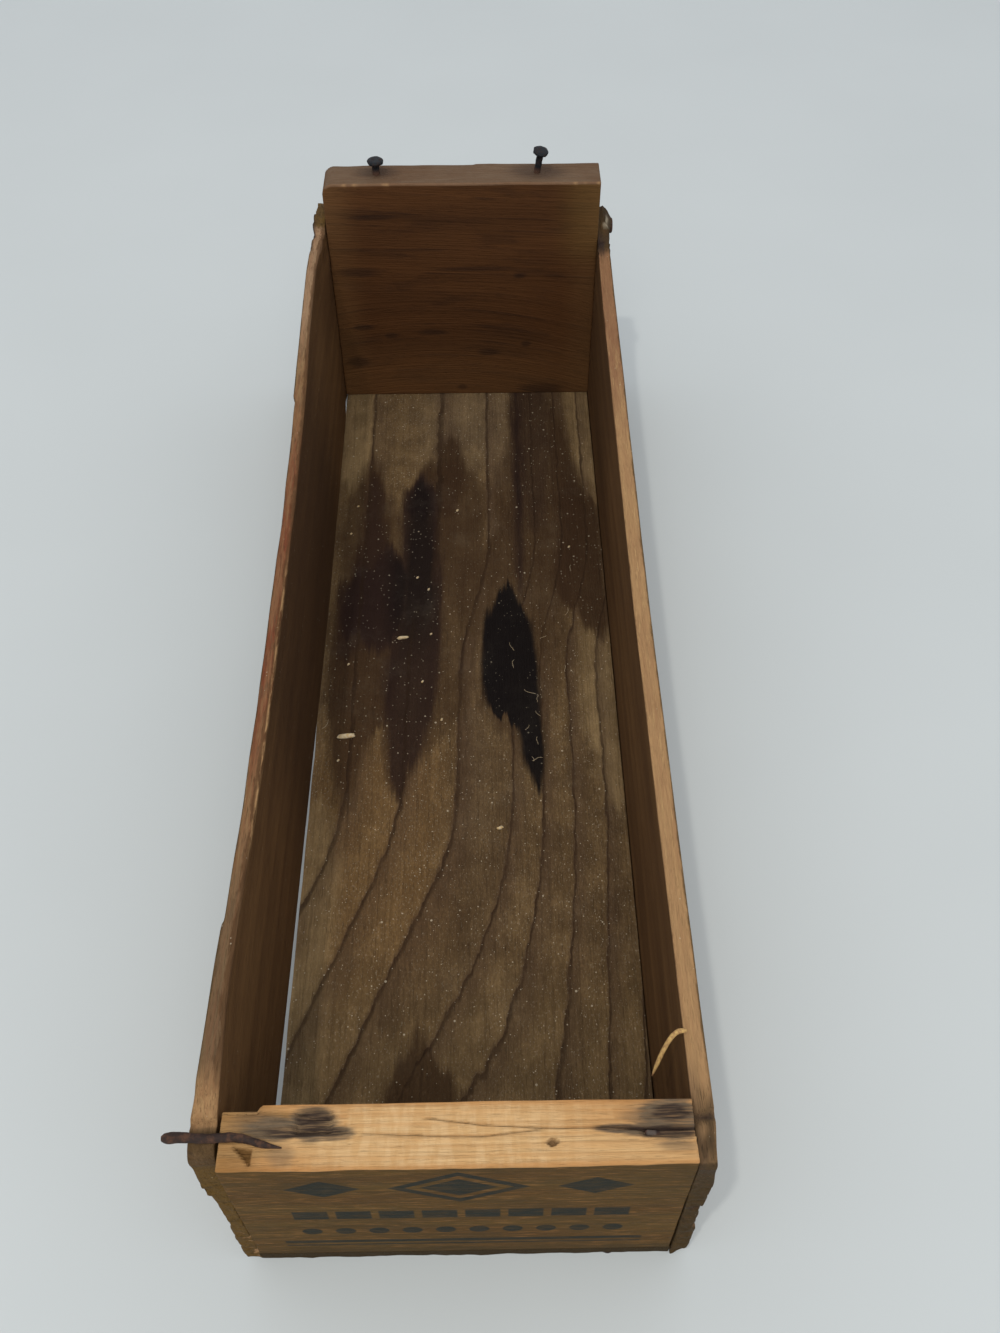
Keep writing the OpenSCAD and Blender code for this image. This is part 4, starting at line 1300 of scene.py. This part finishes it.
def make_nail(
        node, inward, material, slot, wear,
        shift=0.0, lean=(0.0, 0.0), stout=0.39, head_share=1.0, head_t=0.8):
    """Driven nail after its CAD node, which runs inwards from its head along one axis."""
    low, high = box_mm(node)
    inward = np.array(inward, float)
    axis = int(np.abs(inward).argmax())
    head = (low + high) / 2
    head[axis] = low[axis] if inward[axis] > 0 else high[axis]
    others = [k for k in range(3) if k != axis]
    head_r = (high - low)[others[1]] / 2
    if any(lean):
        across, forward = lean
        head[0] = high[0] - head_r * math.cos(across)
        head[1] -= 3.0 * math.sin(forward)
        inward = np.array((-math.sin(across), math.sin(forward), -math.cos(across) * math.cos(forward)))
    total = (high - low)[axis]
    steps = nail_outline(head_share * head_r, stout * head_r, total, head_t)
    path = head + (steps[:, :1] + shift) * inward
    points, faces = rod(path, steps[:, 1], NAIL_SIDES, wear.rust_lumps, head.sum())
    add_piece(f"{node}_iron", points, faces, material, [node])


def driven_nails():
    """Nodes of the driven nails, each with the direction that the nail runs in."""
    for end, rows in (("front", ("middle", "lower")), ("rear", ("upper", "middle", "lower"))):
        for side, inward in (("left", (1, 0, 0)), ("right", (-1, 0, 0))):
            for row in rows:
                yield f"{end}_{side}_{row}_nail", inward
    for end in ("front", "rear"):
        for place in ("left", "middle", "right"):
            yield f"{end}_bottom_{place}_nail", (0, 0, 1)


# How far nails go inwards with the lean of their side, and the nail that was driven too near the front face
LEANING_SHIFT = {
    "front_left_middle_nail": 0.2, "front_left_lower_nail": 0.5, "rear_left_upper_nail": 1.1,
    "rear_left_middle_nail": 0.1, "rear_left_lower_nail": 0.4,
    "front_right_middle_nail": -0.45, "front_right_lower_nail": -0.6,
}
STRAY_NAIL = "front_bottom_right_nail"


def make_driven_nails(wear, colours):
    """Nails that hold the boards together."""
    iron = rusty_iron(colours)
    for node, inward in driven_nails():
        shift = LEANING_SHIFT.get(node, 0.0)
        head_share = 0.72 if node == STRAY_NAIL else 1.0
        caked = 1.7 if node.endswith("upper_nail") else 0.8
        make_nail(node, inward, iron, "rusty_nail", wear, shift, head_share=head_share, head_t=caked)


def make_bared_nails(wear):
    """Bent nail at the front left and broken nail at the front right."""
    iron = bpy.data.materials["rusty iron"]
    low, high = box_mm("front_left_bent_nail")
    bend = math.radians(13)
    height = (low[2] + high[2]) / 2
    straight_y = high[1] - 0.95
    tip_y = low[1] + 0.2
    elbow_x = high[0] - (straight_y - tip_y) / math.tan(bend)
    xs = np.linspace(low[0] + 0.1, high[0], 44)
    turn = np.log1p(np.exp((xs - elbow_x) / 0.9)) * 0.9
    path = np.stack([xs, straight_y - turn * math.tan(bend), height - 0.02 * turn], axis=1)
    path[:, 1] += 0.12 * np.sin(xs * 0.6)
    radii = np.interp(
        xs, (low[0] + 0.1, low[0] + 0.5, low[0] + 1.2, low[0] + 5, elbow_x, high[0] - 3, high[0]),
        (0.5, 0.85, 1.05, 0.88, 0.82, 0.62, 0.12))
    points, faces = rod(path, radii, NAIL_SIDES, wear.rust_lumps * MORE_RUST, 3.0)
    add_piece("front_left_bent_nail_iron", points, faces, iron, ["front_left_bent_nail"])
    low, high = box_mm("front_right_broken_nail")
    middle = (low + high) / 2
    xs = np.linspace(low[0], high[0], 26)
    sunk = 0.5 + 0.13 * (xs - low[0])
    path = np.stack([xs, middle[1] + 0.1 * np.sin(xs), middle[2] - sunk], axis=1)
    radii = np.interp(xs, (low[0], low[0] + 0.4, high[0] - 0.3, high[0]), (0.35, 0.62, 0.7, 0.5))
    points, faces = rod(path, radii, NAIL_SIDES, wear.rust_lumps * MORE_RUST, 8.0)
    add_piece("front_right_broken_nail_iron", points, faces, iron, ["front_right_broken_nail"])


def make_lid_nails(wear, colours):
    """Blackened nails that once held the lid, of which the right one leans."""
    iron = black_iron(colours)
    lean = (math.radians(8), math.radians(7))
    looks = {
        "left_lid_nail": {"shift": -0.5, "stout": 0.48, "head_share": 1.08, "head_t": 1.1},
        "right_lid_nail": {"shift": -1.2, "stout": 0.44, "head_share": 1.03, "head_t": 1.0, "lean": lean},
    }
    for node, look in looks.items():
        make_nail(node, (0, 0, -1), iron, "black_nail", wear, **look)


def make_sliver(wear, colours):
    """Pale sliver that hangs off the right side's inner edge, near the front."""
    across = (42.9, 41.4, 40.0, 38.6, 37.4, 36.6)
    from_front = (24.6, 24.8, 23.8, 22.2, 20.3, 19.0)
    height = (56.7, 57.2, 56.2, 54.0, 51.2, 49.2)
    share = np.linspace(0, 1, len(across))
    fine = np.linspace(0, 1, 30)
    path = np.stack([
        np.interp(fine, share, across),
        np.interp(fine, share, from_front) + FRONT_Y,
        np.interp(fine, share, height)], axis=1)
    for _ in range(12):
        path[1:-1] = (path[:-2] + path[2:]) / 2
    widths = np.interp(fine, (0, 0.15, 0.8, 1), (0.35, 0.5, 0.42, 0.12)) * wear.sliver_width / MM
    points, faces = rod(path, widths, 12, 0.08, 5.0)
    pale = plain_fibre("sliver wood", colours.sliver, colours.right_warm)
    add_piece("hanging_sliver", points, faces, pale)


# Crumbs on the bottom board: place across and from the front face, and half sizes
CRUMBS = (
    (-33, 132.5, 2.6, 0.7), (-18.7, 168.2, 1.7, 0.5), (8.9, 102.4, 0.9, 0.45), (-15, 192.5, 0.4, 0.4),
    (-11.5, 187.5, 0.35, 0.35), (-34, 158.4, 0.4, 0.35), (-12.5, 151.6, 0.35, 0.35),
    (-10.4, 169.6, 0.35, 0.3), (-6.8, 138, 0.35, 0.35), (-34.7, 124.6, 0.35, 0.3), (32, 205, 0.4, 0.35),
    (-36.5, 212, 0.35, 0.3), (-35, 224.5, 0.35, 0.3), (-3, 222, 0.4, 0.4),
)


def make_crumbs(colours):
    """Crumbs that lie on the bottom board."""
    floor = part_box("bottom_board")[1].z / MM
    points = []
    faces = []
    for across, from_front, half_long, half_wide in CRUMBS:
        ball = bmesh.new()
        bmesh.ops.create_icosphere(ball, subdivisions=3, radius=1.0)
        first = len(points)
        for vertex in ball.verts:
            swell = 1 + 0.35 * noise.noise(vertex.co * 1.6 + Vector((across, from_front, 0)))
            place = vertex.co * swell
            points.append((
                across + place.x * half_long, FRONT_Y + from_front + place.y * half_wide + place.x * 0.2,
                floor + half_wide * 0.7 + place.z * half_wide))
        faces.extend([first + vertex.index for vertex in face.verts] for face in ball.faces)
        ball.free()
    pale = plain_fibre("crumb", colours.dust, colours.sliver)
    add_piece("bottom_crumbs", np.array(points), faces, pale)


# Lint on the bottom board: place across and from the front face, length and turn in degrees
LINT = (
    (19.4, 124.3, 3, 10), (18.2, 124.4, 1.6, 95), (18, 147.5, 3.6, -35), (20.2, 145, 2.4, 80),
    (13.6, 158, 3, 80), (13.2, 164.5, 3.4, 100), (20, 139.8, 2.2, 120), (19.6, 130.5, 2.6, 85),
    (17, 135, 2, 60), (30, 178, 3.2, 70), (-39, 137, 3.5, 60), (28.4, 156, 2.5, 100),
    (32, 196, 2.6, 75), (22.6, 168, 2.2, 40),
)


def make_lint(colours):
    """Fine hairs that lie on the bottom board."""
    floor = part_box("bottom_board")[1].z / MM + 0.12
    points = []
    faces = []
    radius = 0.045
    along = np.linspace(-0.5, 0.5, 12)
    for across, from_front, long, turn in LINT:
        sway = 0.12 * np.sin(along * 4 + across)
        angle = math.radians(turn)
        path = np.stack([
            across + long * (along * math.cos(angle) - sway * math.sin(angle)),
            FRONT_Y + from_front + long * (along * math.sin(angle) + sway * math.cos(angle)),
            floor + 0.1 * np.cos(along * 7)], axis=1)
        hair, sides = rod(path, np.full(len(path), radius), 6, 0.1, turn)
        faces.extend([len(points) + corner for corner in side] for side in sides)
        points.extend(hair)
    pale = plain_fibre("lint", colours.dust, colours.bottom_dust_and_light)
    add_piece("bottom_lint", np.array(points), faces, pale)


# Stage


def floor_material(stage):
    """Plain pale floor with a faint mottle."""
    material, graph, shader, place = new_material("studio floor")
    mottle = graph.noise(place, (0.012, 0.012, 0.012), 2.0)
    level = 0.97 + mottle * 0.06
    paint = graph.blend(1.0, stage.floor, graph.point(level, level, level), "MULTIPLY")
    graph.feed(shader.inputs["Base Color"], paint)
    graph.feed(shader.inputs["Roughness"], 0.7)
    graph.feed(shader.inputs["Specular IOR Level"], 0.2)
    return material


def hang_lamp(name, place, size, power, stage):
    """Round lamp that hangs at the stage's lamp height over a place and points at the crate."""
    lamp = bpy.data.lights.new(name, "AREA")
    lamp.shape = "DISK"
    lamp.size = size
    lamp.energy = power
    lamp.color = stage.lamp
    hanging = bpy.data.objects.new(name, lamp)
    hanging.location = (*place, stage.lamp_height)
    hanging.rotation_euler = (-hanging.location).to_track_quat("-Z", "Y").to_euler()
    bpy.context.scene.collection.objects.link(hanging)


def make_stage(stage):
    """Floor, soft light and the camera."""
    half = 3.0
    corners = [(-half, -half, 0), (half, -half, 0), (half, half, 0), (-half, half, 0)]
    mesh = bpy.data.meshes.new("studio_floor")
    mesh.from_pydata(corners, [], [(0, 1, 2, 3)])
    mesh.materials.append(floor_material(stage))
    floor = bpy.data.objects.new("studio_floor", mesh)
    bpy.context.scene.collection.objects.link(floor)

    world = bpy.data.worlds.new("studio_sky")
    world.use_nodes = True
    background = world.node_tree.nodes["Background"]
    background.inputs["Color"].default_value = (*stage.sky, 1.0)
    background.inputs["Strength"].default_value = stage.sky_strength
    bpy.context.scene.world = world

    overhead = (-stage.lamp_left, -stage.lamp_front)
    hang_lamp("overhead_lamp", overhead, stage.lamp_size, stage.lamp_power, stage)
    hang_lamp("front_lamp", (0.0, -stage.fill_front), stage.fill_size, stage.fill_power, stage)

    camera = bpy.data.cameras.new("camera")
    camera.lens = stage.lens
    camera.clip_start = 0.01
    viewer = bpy.data.objects.new("camera", camera)
    viewer.matrix_world = (
        Matrix.Translation(stage.camera_place)
        @ Matrix.Rotation(stage.camera_yaw, 4, "Z")
        @ Matrix.Rotation(math.pi / 2 - stage.camera_pitch, 4, "X")
        @ Matrix.Rotation(stage.camera_roll, 4, "Z"))
    bpy.context.scene.collection.objects.link(viewer)
    bpy.context.scene.camera = viewer
    bpy.context.scene.view_settings.view_transform = "Standard"


# Operators


class CRATE_OT_effects(bpy.types.Operator):
    """Make the shader groups that the crate's materials share"""

    bl_idname = "crate.effects"
    bl_label = "Shared Effects"

    def execute(self, context):
        make_grain_group()
        make_patch_group()
        make_stain_group()
        make_dust_group()
        make_rust_group()
        return {"FINISHED"}


class CRATE_OT_bottom_board(bpy.types.Operator):
    """Make the stained bottom board"""

    bl_idname = "crate.bottom_board"
    bl_label = "Bottom Board"

    def execute(self, context):
        make_bottom_board(context.scene.crate_wear, context.scene.crate_colours)
        return {"FINISHED"}


class CRATE_OT_end_boards(bpy.types.Operator):
    """Make the broken front board and the full rear board"""

    bl_idname = "crate.end_boards"
    bl_label = "End Boards"

    def execute(self, context):
        make_front_board(context.scene.crate_wear, context.scene.crate_colours)
        make_rear_board(context.scene.crate_wear, context.scene.crate_colours)
        return {"FINISHED"}


class CRATE_OT_side_boards(bpy.types.Operator):
    """Make the two thin side boards"""

    bl_idname = "crate.side_boards"
    bl_label = "Side Boards"

    def execute(self, context):
        for side in ("left", "right"):
            make_side_board(side, context.scene.crate_wear, context.scene.crate_colours)
        return {"FINISHED"}


class CRATE_OT_driven_nails(bpy.types.Operator):
    """Make the rusty nails that hold the boards together"""

    bl_idname = "crate.driven_nails"
    bl_label = "Driven Nails"

    def execute(self, context):
        make_driven_nails(context.scene.crate_wear, context.scene.crate_colours)
        return {"FINISHED"}


class CRATE_OT_bared_nails(bpy.types.Operator):
    """Make the bent nail and the broken nail in the front board's break"""

    bl_idname = "crate.bared_nails"
    bl_label = "Bared Nails"

    def execute(self, context):
        make_bared_nails(context.scene.crate_wear)
        return {"FINISHED"}


class CRATE_OT_lid_nails(bpy.types.Operator):
    """Make the blackened nails that stand in the rear board"""

    bl_idname = "crate.lid_nails"
    bl_label = "Lid Nails"

    def execute(self, context):
        make_lid_nails(context.scene.crate_wear, context.scene.crate_colours)
        return {"FINISHED"}


class CRATE_OT_debris(bpy.types.Operator):
    """Make the hanging sliver, the crumbs and the lint"""

    bl_idname = "crate.debris"
    bl_label = "Sliver, Crumbs and Lint"

    def execute(self, context):
        make_sliver(context.scene.crate_wear, context.scene.crate_colours)
        make_crumbs(context.scene.crate_colours)
        make_lint(context.scene.crate_colours)
        return {"FINISHED"}


class CRATE_OT_stage(bpy.types.Operator):
    """Make the floor, the light and the camera"""

    bl_idname = "crate.stage"
    bl_label = "Stage"

    def execute(self, context):
        make_stage(context.scene.crate_stage)
        return {"FINISHED"}


OPERATORS = (
    CRATE_OT_effects, CRATE_OT_bottom_board, CRATE_OT_end_boards, CRATE_OT_side_boards,
    CRATE_OT_driven_nails, CRATE_OT_bared_nails, CRATE_OT_lid_nails, CRATE_OT_debris, CRATE_OT_stage,
)


class CRATE_PT_panel(bpy.types.Panel):
    """Steps that build the crate, and its settings"""

    bl_idname = "CRATE_PT_panel"
    bl_label = "Old Cheese Crate"
    bl_space_type = "VIEW_3D"
    bl_region_type = "UI"
    bl_category = "Crate"

    def draw(self, context):
        for operator in OPERATORS:
            self.layout.operator(operator.bl_idname)
        for settings in (context.scene.crate_wear, context.scene.crate_colours, context.scene.crate_stage):
            box = self.layout.box()
            for setting in settings.__annotations__:
                box.prop(settings, setting)


SETTINGS = {"crate_wear": CrateWear, "crate_colours": CrateColours, "crate_stage": CrateStage}
CLASSES = (*SETTINGS.values(), *OPERATORS, CRATE_PT_panel)


def register():
    for made in CLASSES:
        bpy.utils.register_class(made)
    for name, kind in SETTINGS.items():
        setattr(bpy.types.Scene, name, PointerProperty(type=kind))


def unregister():
    for name in SETTINGS:
        delattr(bpy.types.Scene, name)
    for made in reversed(CLASSES):
        bpy.utils.unregister_class(made)


def main():
    """Builds the crate and its stage."""
    register()
    bpy.ops.crate.effects()
    bpy.ops.crate.bottom_board()
    bpy.ops.crate.end_boards()
    bpy.ops.crate.side_boards()
    bpy.ops.crate.driven_nails()
    bpy.ops.crate.bared_nails()
    bpy.ops.crate.lid_nails()
    bpy.ops.crate.debris()
    bpy.ops.crate.stage()
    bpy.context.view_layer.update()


if __name__ == "__main__":
    main()
